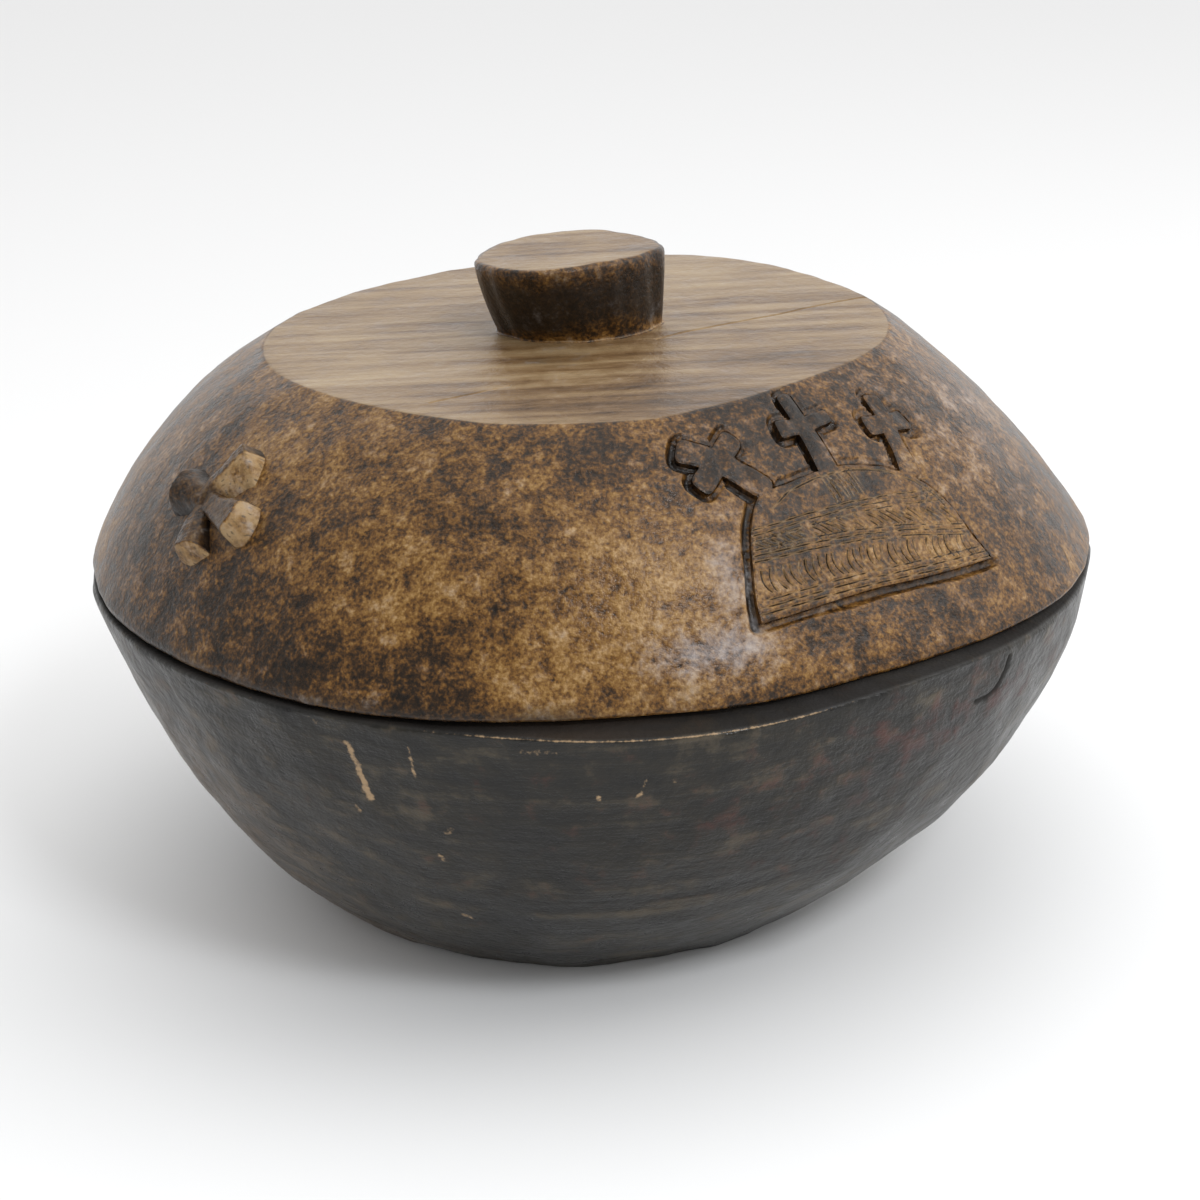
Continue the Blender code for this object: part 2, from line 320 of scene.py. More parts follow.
@dataclass
class Graph:
    """A short way to write shader and geometry node trees."""

    tree: bpy.types.NodeTree

    def node(self, kind: str, inputs: dict | None = None, **settings: Value) -> bpy.types.Node:
        """Adds a node.

        Args:
            kind: The node's type name.
            inputs: Values or sockets for its inputs, by name or index.
            settings: The node's own properties.

        Returns:
            The node.
        """
        made = self.tree.nodes.new(kind)
        for name, value in settings.items():
            setattr(made, name, value)
        for name, value in (inputs or {}).items():
            if isinstance(value, Socket):
                self.tree.links.new(value, made.inputs[name])
            else:
                made.inputs[name].default_value = value
        return made

    def math(self, operation: str, first: Value, second: Value = 0.0) -> Socket:
        """One Math node's result."""
        return self.node("ShaderNodeMath", {0: first, 1: second}, operation=operation).outputs[0]

    def vector_math(self, operation: str, first: Value, second: Value) -> bpy.types.Node:
        """One Vector Math node."""
        return self.node("ShaderNodeVectorMath", {0: first, 1: second}, operation=operation)

    def total(self, terms: Sequence[tuple[Value, float]], start: float = 0.0) -> Socket:
        """A weighted sum.

        Args:
            terms: (value, weight) pairs.
            start: The constant that the sum starts from.

        Returns:
            The sum.
        """
        made: Value = start
        for value, weight in terms:
            wanted = {0: value, 1: weight, 2: made}
            made = self.node("ShaderNodeMath", wanted, operation="MULTIPLY_ADD").outputs[0]
        return made

    def between(self, value: Value, low: float, high: float, to: Point2 = (0.0, 1.0)) -> Socket:
        """A smooth step of value from low to high, onto the range given."""
        wanted = {"Value": value, "From Min": low, "From Max": high, "To Min": to[0], "To Max": to[1]}
        return self.node("ShaderNodeMapRange", wanted, interpolation_type="SMOOTHSTEP").outputs[0]

    def blend(self, share: Value, first: Value, second: Value) -> Socket:
        """A mix of two colours, each a socket or a red, green and blue."""
        first, second = ((*c, 1.0) if isinstance(c, tuple) else c for c in (first, second))
        return self.node("ShaderNodeMix", {0: share, 6: first, 7: second}, data_type="RGBA").outputs[2]

    def noise(
        self, place: Socket, scale: float, detail: float = 3.0, rough: float = 0.55, warp: float = 0.0
    ) -> Socket:
        """A noise pattern's value; scale is in patches to the metre."""
        wanted = {
            "Vector": place, "Scale": scale, "Detail": detail, "Roughness": rough,
            "Distortion": warp,
        }
        return self.node("ShaderNodeTexNoise", wanted).outputs[0]

    def stretched(self, place: Socket, scale: tuple) -> Socket:
        """The place scaled along each axis, so that a pattern runs as grain."""
        return self.node("ShaderNodeMapping", {"Vector": place, "Scale": scale}).outputs[0]

    def ramp(self, value: Socket, stops: Sequence[tuple[float, tuple]]) -> Socket:
        """A colour ramp.

        Args:
            value: The value to colour.
            stops: (place, red green blue) pairs.

        Returns:
            The colour.
        """
        made = self.node("ShaderNodeValToRGB", {0: value})
        bar = made.color_ramp
        while len(bar.elements) < len(stops):
            bar.elements.new(0.5)
        for element, (place, colour) in zip(bar.elements, stops):
            element.position = place
            element.color = (*colour, 1.0)
        return made.outputs[0]

    def trait(self, name: Trait) -> Socket:
        """A point attribute's value in a shader."""
        return self.node("ShaderNodeAttribute", attribute_name=name.value).outputs["Fac"]

    def named(self, name: Trait, kind: str = "FLOAT") -> Socket:
        """A point attribute's value in a geometry tree."""
        wanted = {"Name": name.value}
        return self.node("GeometryNodeInputNamedAttribute", wanted, data_type=kind).outputs[0]

    def dress(
        self, colour: Socket, rough: Socket, specular: float, relief: Socket, bump: Point2
    ) -> None:
        """Feeds the tree's Principled shader.

        Args:
            colour: The base colour.
            rough: The roughness, which is held between 0 and 1.
            specular: The specular level.
            relief: The height of the fine relief.
            bump: The relief's strength, and its depth in metres.
        """
        shader = self.tree.nodes["Principled BSDF"].inputs
        wanted = {"Height": relief, "Strength": bump[0], "Distance": bump[1]}
        rough.node.use_clamp = True
        self.tree.links.new(colour, shader["Base Color"])
        self.tree.links.new(rough, shader["Roughness"])
        self.tree.links.new(self.node("ShaderNodeBump", wanted).outputs[0], shader["Normal"])
        shader["Specular IOR Level"].default_value = specular


def new_material(name: str) -> bpy.types.Material:
    """Starts a material.

    Args:
        name: Its name.

    Returns:
        The material, with a Principled shader.
    """
    material = bpy.data.materials.new(name)
    material.use_nodes = True
    return material


# ---------------------------------------------------------------- finishes


@dataclass(frozen=True)
class LidWood:
    """Oiled, handled wood: brown and ochre patches, smoke and painted shade in the hollows, painted
    highlights, a dusty top.
    """

    name: str = "lid_wood"
    browns: tuple = (
        (0.20, (0.007, 0.0040, 0.0018)),
        (0.37, (0.027, 0.0130, 0.0042)),
        (0.48, (0.078, 0.0345, 0.0080)),
        (0.58, (0.140, 0.064, 0.0135)),
        (0.70, (0.220, 0.116, 0.0300)),
        (0.88, (0.350, 0.212, 0.0820)),
    )
    tans: tuple = (
        (0.24, (0.045, 0.022, 0.008)),
        (0.43, (0.135, 0.076, 0.031)),
        (0.57, (0.208, 0.133, 0.064)),
        (0.78, (0.300, 0.213, 0.118)),
    )
    smoke_and_shade: tuple = (0.010, 0.0075, 0.006)
    bare: tuple = (0.400, 0.262, 0.125)
    cut_floor: tuple = (0.020, 0.0105, 0.0055)
    raw: tuple = (0.085, 0.052, 0.028)
    highlight_grey: tuple = (0.330, 0.320, 0.330)

    def make(self) -> bpy.types.Material:
        """Builds the material.

        Returns:
            The material.
        """
        material = new_material(self.name)
        graph = Graph(material.node_tree)
        place = graph.node("ShaderNodeTexCoord").outputs["Object"]
        patches = graph.noise(place, 17.0, 4.0, 0.55, 0.5)
        mottle = graph.noise(place, 80.0, 6.0, 0.68, 0.3)
        leather = graph.noise(place, 270.0, 4.0, 0.62)
        grit = graph.noise(place, 700.0, 2.0, 0.6)
        grain = graph.noise(graph.stretched(place, (9.0, 120.0, 120.0)), 1.0, 4.0, 0.6)
        top, soot = graph.trait(Trait.TOP), graph.trait(Trait.SOOT)
        glow, worn = graph.trait(Trait.GLOW), graph.trait(Trait.WORN)
        cut, inside = graph.trait(Trait.CUT), graph.trait(Trait.INSIDE)
        bloom = graph.trait(Trait.BLOOM)

        # The brown side, and the paler table where dust lies.
        mix = ((patches, 0.70), (mottle, 0.95), (leather, 0.60), (grit, 0.75), (glow, 0.15))
        side = graph.ramp(graph.total(mix, -1.01), self.browns)
        mix = ((grain, 0.95), (mottle, 0.45), (patches, 0.40), (glow, 0.12))
        table = graph.ramp(graph.total(mix, -0.33), self.tans)
        dusted = graph.between(graph.total(((top, 1.0), (mottle, 0.5))), 0.45, 1.05)
        colour = graph.blend(dusted, side, table)

        # Worn places with painted highlights, the raw hollow, and soot with painted shade.
        scraped_and_highlit = graph.between(graph.total(((worn, 1.0), (mottle, 0.8))), 0.62, 1.05)
        colour = graph.blend(scraped_and_highlit, colour, graph.blend(mottle, self.bare, table))
        colour = graph.blend(inside, colour, graph.blend(grain, self.cut_floor, self.raw))
        # Near-black from real soot, and from painted shade in the ditch, on the relief's walls and in
        # the boss's low ground.
        blackened_and_shaded = graph.between(graph.total(((soot, 1.0), (mottle, 0.9)), -0.45), 0.15, 0.85)
        colour = graph.blend(graph.math("MULTIPLY", blackened_and_shaded, 0.94), colour, self.smoke_and_shade)

        # The cuts with their pale lips, and the painted highlights and sheen in pale grey.
        lip = graph.math("MULTIPLY", cut, graph.math("SUBTRACT", 1.0, cut))
        colour = graph.blend(graph.math("MULTIPLY", lip, 1.3), colour, self.bare)
        colour = graph.blend(graph.between(cut, 0.35, 0.85), colour, self.cut_floor)
        highlight_share = graph.total(((bloom, 1.0), (mottle, 1.7), (leather, 1.0)))
        highlight_share = graph.math("MULTIPLY", graph.between(highlight_share, 1.45, 2.4), 0.75)
        colour = graph.blend(highlight_share, colour, self.highlight_grey)

        rough = graph.total(
            ((mottle, 0.46), (leather, 0.20), (top, 0.08), (inside, 0.25), (worn, 0.35))
        )
        relief = graph.total(((mottle, 0.9), (leather, 0.55), (grain, 0.30), (grit, 0.12)))
        graph.dress(colour, rough, 0.30, relief, (0.6, 0.0014))
        return material


@dataclass(frozen=True)
class BowlWood:
    """The same wood blackened by smoke and handling, with the grain just showing."""

    name: str = "bowl_wood"
    blacks: tuple = (
        (0.26, (0.0030, 0.0024, 0.0020)),
        (0.42, (0.0060, 0.0050, 0.0032)),
        (0.56, (0.0130, 0.0105, 0.0064)),
        (0.74, (0.0620, 0.0480, 0.0290)),
    )
    oxblood: tuple = (0.070, 0.014, 0.010)
    brown: tuple = (0.080, 0.045, 0.019)
    bare: tuple = (0.360, 0.240, 0.130)
    raw: tuple = (0.075, 0.044, 0.024)
    pit_and_shade: tuple = (0.006, 0.004, 0.003)

    def make(self) -> bpy.types.Material:
        """Builds the material.

        Returns:
            The material.
        """
        material = new_material(self.name)
        graph = Graph(material.node_tree)
        place = graph.node("ShaderNodeTexCoord").outputs["Object"]
        patches = graph.noise(place, 15.0, 4.0, 0.6, 0.4)
        mottle = graph.noise(place, 90.0, 5.0, 0.65)
        grain = graph.noise(graph.stretched(place, (7.0, 95.0, 130.0)), 1.0, 4.0, 0.62)
        grit = graph.noise(place, 600.0, 2.0, 0.6)
        red, worn = graph.trait(Trait.RED), graph.trait(Trait.WORN)
        glow, cut = graph.trait(Trait.GLOW), graph.trait(Trait.CUT)
        inside = graph.trait(Trait.INSIDE)

        # Smoked black, with the old red and the earth brown coming through.
        tone = graph.total(((patches, 0.60), (grain, 0.80), (mottle, 0.80)), -0.60)
        colour = graph.ramp(tone, self.blacks)
        rusty = graph.between(graph.total(((red, 1.0), (mottle, 2.6)), -1.3), 0.25, 1.0)
        colour = graph.blend(graph.math("MULTIPLY", rusty, 0.7), colour, self.oxblood)
        earthy = graph.between(graph.total(((glow, 1.0), (grain, 1.2)), -0.6), 0.25, 1.0)
        colour = graph.blend(graph.math("MULTIPLY", earthy, 0.8), colour, self.brown)

        # The raw hollow, the chips, the cracks, and the ledge under the lid painted dark as shade.
        colour = graph.blend(inside, colour, graph.blend(grain, self.brown, self.raw))
        chipped = graph.total(((worn, 1.0), (mottle, 0.6), (grit, 0.9)))
        colour = graph.blend(graph.between(chipped, 1.02, 1.42), colour, self.bare)
        colour = graph.blend(graph.math("MULTIPLY", cut, 0.9), colour, self.pit_and_shade)

        rough = graph.total(((mottle, 0.50), (cut, 0.60), (inside, 0.2)), 0.09)
        relief = graph.total(((grain, 0.9), (mottle, 1.2), (grit, 0.12)))
        graph.dress(colour, rough, 0.36, relief, (0.7, 0.0018))
        return material


@dataclass(frozen=True)
class FloorPaper:
    """Matt white studio paper."""

    name: str = "studio_paper"
    shade: float = 0.82

    def make(self) -> bpy.types.Material:
        """Builds the material.

        Returns:
            The material.
        """
        material = new_material(self.name)
        shader = material.node_tree.nodes["Principled BSDF"].inputs
        shader["Base Color"].default_value = (self.shade, self.shade, self.shade, 1)
        shader["Roughness"].default_value = 1.0
        shader["Specular IOR Level"].default_value = 0.0
        return material


# ---------------------------------------------------------------- carving tools


class CarvingTree:
    """A geometry node tree with named inputs, put on a piece and baked into its mesh."""

    def __init__(self, name: str, inputs: Sequence[tuple[str, str, Value]]) -> None:
        """Starts the tree.

        Args:
            name: The tree's name.
            inputs: (name, socket type, default) of each input.
        """
        self.tree = bpy.data.node_groups.new(name, "GeometryNodeTree")
        self.sockets = {}
        face = self.tree.interface
        face.new_socket("Geometry", in_out="INPUT", socket_type="NodeSocketGeometry")
        for title, kind, default in inputs:
            made = face.new_socket(title, in_out="INPUT", socket_type=kind)
            if default is not None:
                made.default_value = default
            self.sockets[title] = made.identifier
        face.new_socket("Geometry", in_out="OUTPUT", socket_type="NodeSocketGeometry")
        self.graph = Graph(self.tree)
        self.given = self.graph.node("NodeGroupInput").outputs

    def close(self, geometry: Socket, height: Socket) -> None:
        """Ends the tree: points pushed out, instances made real, and the wood set.

        Args:
            geometry: The geometry so far.
            height: How far each point moves along its normal.
        """
        graph = self.graph
        normal = graph.node("GeometryNodeInputNormal").outputs[0]
        offset = graph.node("ShaderNodeVectorMath", {0: normal, 3: height}, operation="SCALE")
        wanted = {"Geometry": geometry, "Offset": offset.outputs[0]}
        shaped = graph.node("GeometryNodeSetPosition", wanted).outputs[0]
        real = graph.node("GeometryNodeRealizeInstances", {0: shaped}).outputs[0]
        wanted = {"Geometry": real, "Material": self.given["Wood"]}
        dressed = graph.node("GeometryNodeSetMaterial", wanted).outputs[0]
        graph.node("NodeGroupOutput", {0: dressed})

    def apply(self, piece: bpy.types.Object, values: dict[str, Value]) -> None:
        """Runs the tree on a piece and keeps the result as its plain mesh.

        Args:
            piece: The piece, linked to the scene.
            values: The inputs' values by name.
        """
        step = piece.modifiers.new(self.tree.name, "NODES")
        step.node_group = self.tree
        for title, value in values.items():
            step[self.sockets[title]] = value
        bpy.context.view_layer.update()
        seen = piece.evaluated_get(bpy.context.evaluated_depsgraph_get())
        made = bpy.data.meshes.new_from_object(seen)
        piece.modifiers.clear()
        old = piece.data
        piece.data = made
        bpy.data.meshes.remove(old)
        made.name = piece.name


class AdzeMarks(CarvingTree):
    """Shallow scoops side by side, and the finer waver of a scraped surface."""

    def __init__(self) -> None:
        """Builds the tree."""
        super().__init__(
            "adze_marks",
            (
                ("Scoop Size", "NodeSocketFloat", 0.03),
                ("Scoop Depth", "NodeSocketFloat", 0.0006),
                ("Waver Size", "NodeSocketFloat", 0.012),
                ("Waver Depth", "NodeSocketFloat", 0.0003),
                ("Seed", "NodeSocketFloat", 1.0),
                ("Wood", "NodeSocketMaterial", None),
            ),
        )
        graph, given = self.graph, self.given
        place = graph.node("GeometryNodeInputPosition").outputs[0]
        pushed = graph.node("ShaderNodeCombineXYZ", {0: given["Seed"], 1: given["Seed"], 2: 0.0})
        moved = graph.vector_math("ADD", place, pushed.outputs[0]).outputs[0]
        often = graph.math("DIVIDE", 1.0, given["Scoop Size"])
        wanted = {"Vector": moved, "Scale": often, "Smoothness": 0.35}
        scoops = graph.node("ShaderNodeTexVoronoi", wanted, feature="SMOOTH_F1").outputs["Distance"]
        often = graph.math("DIVIDE", 1.0, given["Waver Size"])
        wanted = {"Vector": moved, "Scale": often, "Detail": 2.0}
        waver = graph.node("ShaderNodeTexNoise", wanted).outputs[0]
        dish = graph.math("SUBTRACT", graph.math("MULTIPLY", scoops, scoops), 0.35)
        height = graph.math("MULTIPLY", dish, given["Scoop Depth"])
        flutter = graph.math("MULTIPLY", graph.math("SUBTRACT", waver, 0.5), given["Waver Depth"])
        height = graph.math("MULTIPLY", graph.math("ADD", height, flutter), graph.named(Trait.TOOLED))
        self.close(given["Geometry"], height)


class ChiselCuts(CarvingTree):
    """Short grooves set along guide lines: chained they make a line, slanted a band."""

    def __init__(self) -> None:
        """Builds the tree."""
        super().__init__(
            "chisel_cuts",
            (
                ("Guides", "NodeSocketObject", None),
                ("Spacing", "NodeSocketFloat", 0.003),
                ("Length", "NodeSocketFloat", 0.004),
                ("Slant", "NodeSocketFloat", 0.0),
                ("Bend", "NodeSocketFloat", 0.0),
                ("Unevenness", "NodeSocketFloat", 0.1),
                ("Width", "NodeSocketFloat", 0.001),
                ("Depth", "NodeSocketFloat", 0.0005),
                ("Seed", "NodeSocketInt", 1),
                ("Wood", "NodeSocketMaterial", None),
            ),
        )
        graph, given = self.graph, self.given
        wires = graph.node("GeometryNodeCurveToMesh", {0: self.strokes()}).outputs[0]
        away = graph.node("GeometryNodeProximity", {0: wires}, target_element="EDGES")
        half = graph.math("MULTIPLY", given["Width"], 0.5)
        share = graph.math("DIVIDE", away.outputs["Distance"], half)
        groove = graph.between(share, 1.0, 0.0)
        deepest = graph.math("MAXIMUM", graph.named(Trait.CUT), groove)
        marked = graph.node(
            "GeometryNodeStoreNamedAttribute",
            {"Geometry": given["Geometry"], "Name": Trait.CUT.value, "Value": deepest},
            data_type="FLOAT", domain="POINT",
        ).outputs[0]
        sink = graph.math("MULTIPLY", groove, graph.math("MULTIPLY", given["Depth"], -1.0))
        self.close(marked, sink)

    def strokes(self) -> Socket:
        """Lays the strokes along the guides.

        Returns:
            The strokes as curves.
        """
        graph, given = self.graph, self.given
        guides = graph.node("GeometryNodeObjectInfo", {"Object": given["Guides"]}).outputs["Geometry"]
        lines = graph.node("GeometryNodeMeshToCurve", {0: guides}).outputs[0]
        wanted = {"Curve": lines, "Length": given["Spacing"]}
        stations = graph.node("GeometryNodeResampleCurve", wanted, mode="LENGTH").outputs[0]

        # Each stroke lies along its guide, stands on the wood, and is then turned by the slant.
        align = "FunctionNodeAlignRotationToVector"
        outward = graph.named(Trait.OUTWARD, "FLOAT_VECTOR")
        tangent = graph.node("GeometryNodeInputTangent").outputs[0]
        upright = graph.node(align, {"Vector": outward}, axis="Z").outputs[0]
        wanted = {"Rotation": upright, "Vector": tangent}
        lying = graph.node(align, wanted, axis="X", pivot_axis="Z").outputs[0]
        least = graph.math("MULTIPLY", given["Unevenness"], -1.0)
        wanted = {2: least, 3: given["Unevenness"], "Seed": given["Seed"]}
        sway = graph.node("FunctionNodeRandomValue", wanted, data_type="FLOAT").outputs[1]
        turn = graph.node("ShaderNodeCombineXYZ", {2: graph.math("ADD", given["Slant"], sway)})
        spin = graph.node("FunctionNodeEulerToRotation", {0: turn.outputs[0]}).outputs[0]
        wanted = {"Rotation": lying, "Rotate By": spin}
        turned = graph.node("FunctionNodeRotateRotation", wanted, rotation_space="LOCAL").outputs[0]

        half = graph.math("MULTIPLY", given["Length"], 0.5)
        start = graph.node("ShaderNodeCombineXYZ", {0: graph.math("MULTIPLY", half, -1.0)}).outputs[0]
        middle = graph.node("ShaderNodeCombineXYZ", {1: given["Bend"]}).outputs[0]
        end = graph.node("ShaderNodeCombineXYZ", {0: half}).outputs[0]
        wanted = {"Resolution": 5, "Start": start, "Middle": middle, "End": end}
        stroke = graph.node("GeometryNodeCurveQuadraticBezier", wanted).outputs[0]
        wanted = {"Points": stations, "Instance": stroke, "Rotation": turned}
        placed = graph.node("GeometryNodeInstanceOnPoints", wanted).outputs[0]
        return graph.node("GeometryNodeRealizeInstances", {0: placed}).outputs[0]


@dataclass(frozen=True)
class Stroke:
    """One set of chisel cuts: where they run and how each is cut, in millimetres."""

    lines: tuple
    spacing: float = 3.0
    length: float = 3.6
    slant: float = 0.0
    bend: float = 0.0
    uneven: float = 2.0
    width: float = 1.1
    depth: float = 0.45

    def cut(
        self, tree: ChiselCuts, piece: bpy.types.Object, wood: bpy.types.Material, seed: int,
        lay: Callable[[np.ndarray, np.ndarray], tuple],
    ) -> None:
        """Cuts the set into a piece.

        Args:
            tree: The chisel's node tree.
            piece: The piece to cut.
            wood: The piece's finish.
            seed: Seed of the cuts' unevenness.
            lay: Gives the points and outward directions of drawn places.
        """
        points, edges, outward = [], [], []
        for line in self.lines:
            drawn = np.array(line, float) * MM
            steps = np.concatenate([[0], np.cumsum(np.hypot(*np.diff(drawn, axis=0).T))])
            along = np.linspace(0, steps[-1], max(2, int(steps[-1] / (2 * MM)) + 2))
            place, normal = lay(
                np.interp(along, steps, drawn[:, 0]), np.interp(along, steps, drawn[:, 1])
            )
            first = len(points)
            points += [tuple(p) for p in place]
            outward += [tuple(n) for n in normal]
            edges += [(first + i, first + i + 1) for i in range(len(place) - 1)]
        mesh = bpy.data.meshes.new("guides")
        mesh.from_pydata(points, edges, [])
        set_outward(mesh, np.array(outward))
        guides = in_scene("guides", mesh)
        tree.apply(
            piece,
            {
                "Guides": guides, "Spacing": self.spacing * MM, "Length": self.length * MM,
                "Slant": math.radians(self.slant), "Bend": self.bend * MM,
                "Unevenness": math.radians(self.uneven), "Width": self.width * MM,
                "Depth": self.depth * MM, "Seed": seed, "Wood": wood,
            },
        )
        bpy.data.objects.remove(guides)
        bpy.data.meshes.remove(mesh)


# ---------------------------------------------------------------- meshes


def in_scene(name: str, data: bpy.types.ID) -> bpy.types.Object:
    """Puts a mesh, a light or a camera in the scene.

    Args:
        name: The new object's name.
        data: The mesh, light or camera.

    Returns:
        The object.
    """
    made = bpy.data.objects.new(name, data)
    bpy.context.scene.collection.objects.link(made)
    return made


def set_trait(mesh: bpy.types.Mesh, name: Trait, values: np.ndarray) -> None:
    """Writes a point attribute."""
    layer = mesh.attributes.get(name.value) or mesh.attributes.new(name.value, "FLOAT", "POINT")
    layer.data.foreach_set("value", np.asarray(values, np.float32))


def set_outward(mesh: bpy.types.Mesh, directions: np.ndarray) -> None:
    """Writes the outward direction of each point."""
    layer = mesh.attributes.new(Trait.OUTWARD.value, "FLOAT_VECTOR", "POINT")
    layer.data.foreach_set("vector", directions.astype(np.float32).ravel())


def read_rows(items: bpy.types.bpy_prop_collection, key: str) -> np.ndarray:
    """Reads a vector from each item.

    Args:
        items: A mesh's points or their normals.
        key: The vector's name.

    Returns:
        The vectors as rows.
    """
    flat = np.zeros(len(items) * 3, np.float32)
    items.foreach_get(key, flat)
    return flat.reshape(-1, 3).astype(float)


def read_places(mesh: bpy.types.Mesh) -> np.ndarray:
    """The mesh's points as rows."""
    return read_rows(mesh.vertices, "co")


def read_normals(mesh: bpy.types.Mesh) -> np.ndarray:
    """The mesh's point normals as rows."""
    return read_rows(mesh.vertex_normals, "vector")


def write_places(mesh: bpy.types.Mesh, places: np.ndarray) -> None:
    """Moves the mesh's points."""
    mesh.vertices.foreach_set("co", places.astype(np.float32).ravel())
    mesh.update()


def grid_mesh(name: str, places: np.ndarray, wide: int, wanted: np.ndarray) -> tuple:
    """Draws the wanted part of a grid of points.

    Args:
        name: The mesh's name.
        places: The grid's points, row by row.
        wide: How many points a row has.
        wanted: Which points count; a cell is drawn if one of its corners does.

    Returns:
        The mesh, and the indices of the points that it uses.
    """
    index = np.arange(len(places)).reshape(-1, wide)
    cells = [index[:-1, :-1], index[:-1, 1:], index[1:, 1:], index[1:, :-1]]
    cells = np.stack(cells, axis=-1).reshape(-1, 4)
    kept = cells[wanted[cells].any(1)]
    used = np.unique(kept)
    renumber = np.full(len(places), -1)
    renumber[used] = np.arange(len(used))
    mesh = bpy.data.meshes.new(name)
    mesh.from_pydata(places[used].tolist(), [], renumber[kept].tolist())
    return mesh, used


def finish_piece(piece: bpy.types.Object, body: Body, sharp: float = 50.0) -> None:
    """Smooths a piece's shading and puts it on its body.

    Args:
        piece: The finished piece.
        body: The body that it moves with.
        sharp: Angle in degrees past which an edge stays crisp.
    """
    piece.data.shade_smooth()
    piece.data.set_sharp_from_angle(angle=math.radians(sharp))
    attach(piece, body.value)
    log.info("%s: %d points, %d faces", piece.name, len(piece.data.vertices), len(piece.data.polygons))


# ---------------------------------------------------------------- turned shells


@dataclass
class Zone:
    """A part of a shell that is drawn finer: a test on azimuth and station, and the cuts."""

    test: Callable[[np.ndarray, np.ndarray], np.ndarray]
    cuts: int


class Rings:
    """The rings of a shell's sections, put together into places."""

    def __init__(self, azimuth: np.ndarray, station: np.ndarray, sections: int) -> None:
        """Starts with every ring at the origin.

        Args:
            azimuth: Angles in radians.
            station: Section numbers plus shares.
            sections: How many sections the shell has.
        """
        self.azimuth = azimuth
        self.number = np.minimum(np.floor(station), sections - 1)
        self.share = station - self.number
        self.one = np.ones_like(azimuth)
        self.radius, self.height, self.x, self.y = (np.zeros_like(azimuth) for _ in range(4))

    def put(self, part: Enum, ring: tuple, middle: tuple = (0.0, 0.0)) -> None:
        """Takes one section's points.

        Args:
            part: The section.
            ring: Its radius and height.
            middle: Its middle's x and y.
        """
        here = self.number == part.value
        rows = (self.radius, self.height, self.x, self.y)
        for row, value in zip(rows, (*ring, *middle)):
            row[here] = (value * self.one)[here]

    def places(self) -> np.ndarray:
        """Works out all the points.

        Returns:
            The points as rows.
        """
        x = self.x + self.radius * np.sin(self.azimuth)
        y = self.y - self.radius * np.cos(self.azimuth)
        return np.stack([x, y, self.height], axis=-1)
class Shell:
    """A hollow body drawn as rows of points round an upright axis, pole to pole."""

    name: str = "shell"
    columns: int = 320
    rows: tuple = ()

    def surface(self, azimuth: np.ndarray, station: np.ndarray) -> np.ndarray:
        """Places at azimuths (radians) and stations (section number plus share)."""
        raise NotImplementedError

    def zones(self) -> list[Zone]:
        """The parts that are drawn finer."""
        return []

    def net(self) -> bpy.types.Object:
        """Draws the shell, with its azimuth and station kept on each point.

        Returns:
            The shell, in the scene.
        """
        stations = [s + i / n for s, n in enumerate(self.rows) for i in range(n)]
        stations = np.array(stations + [len(self.rows)])
        around = np.linspace(-math.pi, math.pi, self.columns + 1)
        grid = [(a, s, 0.0) for s in stations for a in around]
        wide = self.columns + 1
        cells = [
            (r * wide + c, (r + 1) * wide + c, (r + 1) * wide + c + 1, r * wide + c + 1)
            for r in range(len(stations) - 1)
            for c in range(self.columns)
        ]
        mesh = bpy.data.meshes.new(self.name)
        mesh.from_pydata(grid, [], cells)
        edit = bmesh.new()
        edit.from_mesh(mesh)
        for zone in self.zones():
            faces = edit.faces[:]
            middles = np.array([f.calc_center_median()[:2] for f in faces])
            chosen = zone.test(middles[:, 0], middles[:, 1])
            edges = {e for f, wanted in zip(faces, chosen) if wanted for e in f.edges}
            bmesh.ops.subdivide_edges(
                edit, edges=list(edges), cuts=zone.cuts, use_grid_fill=True, use_single_edge=False
            )
        edit.to_mesh(mesh)
        edit.free()
        drawn = read_places(mesh)
        for name, column in (("azimuth", 0), ("station", 1)):
            layer = mesh.attributes.new(name, "FLOAT", "POINT")
            layer.data.foreach_set("value", drawn[:, column].astype(np.float32))
        write_places(mesh, self.surface(drawn[:, 0], drawn[:, 1]))
        edit = bmesh.new()
        edit.from_mesh(mesh)
        bmesh.ops.remove_doubles(edit, verts=edit.verts[:], dist=WELD)
        bmesh.ops.dissolve_degenerate(edit, edges=edit.edges[:], dist=WELD)
        bmesh.ops.recalc_face_normals(edit, faces=edit.faces[:])
        edit.to_mesh(mesh)
        edit.free()
        return in_scene(self.name, mesh)

    @staticmethod
    def drawn_at(mesh: bpy.types.Mesh) -> tuple:
        """Reads where each point was drawn, and takes the attributes off.

        Args:
            mesh: A net's mesh.

        Returns:
            The azimuths and the stations.
        """
        found = []
        for name in ("azimuth", "station"):
            values = np.zeros(len(mesh.vertices), np.float32)
            mesh.attributes[name].data.foreach_get("value", values)
            mesh.attributes.remove(mesh.attributes[name])
            found.append(values.astype(float))
        return tuple(found)


# ---------------------------------------------------------------- the carved figures


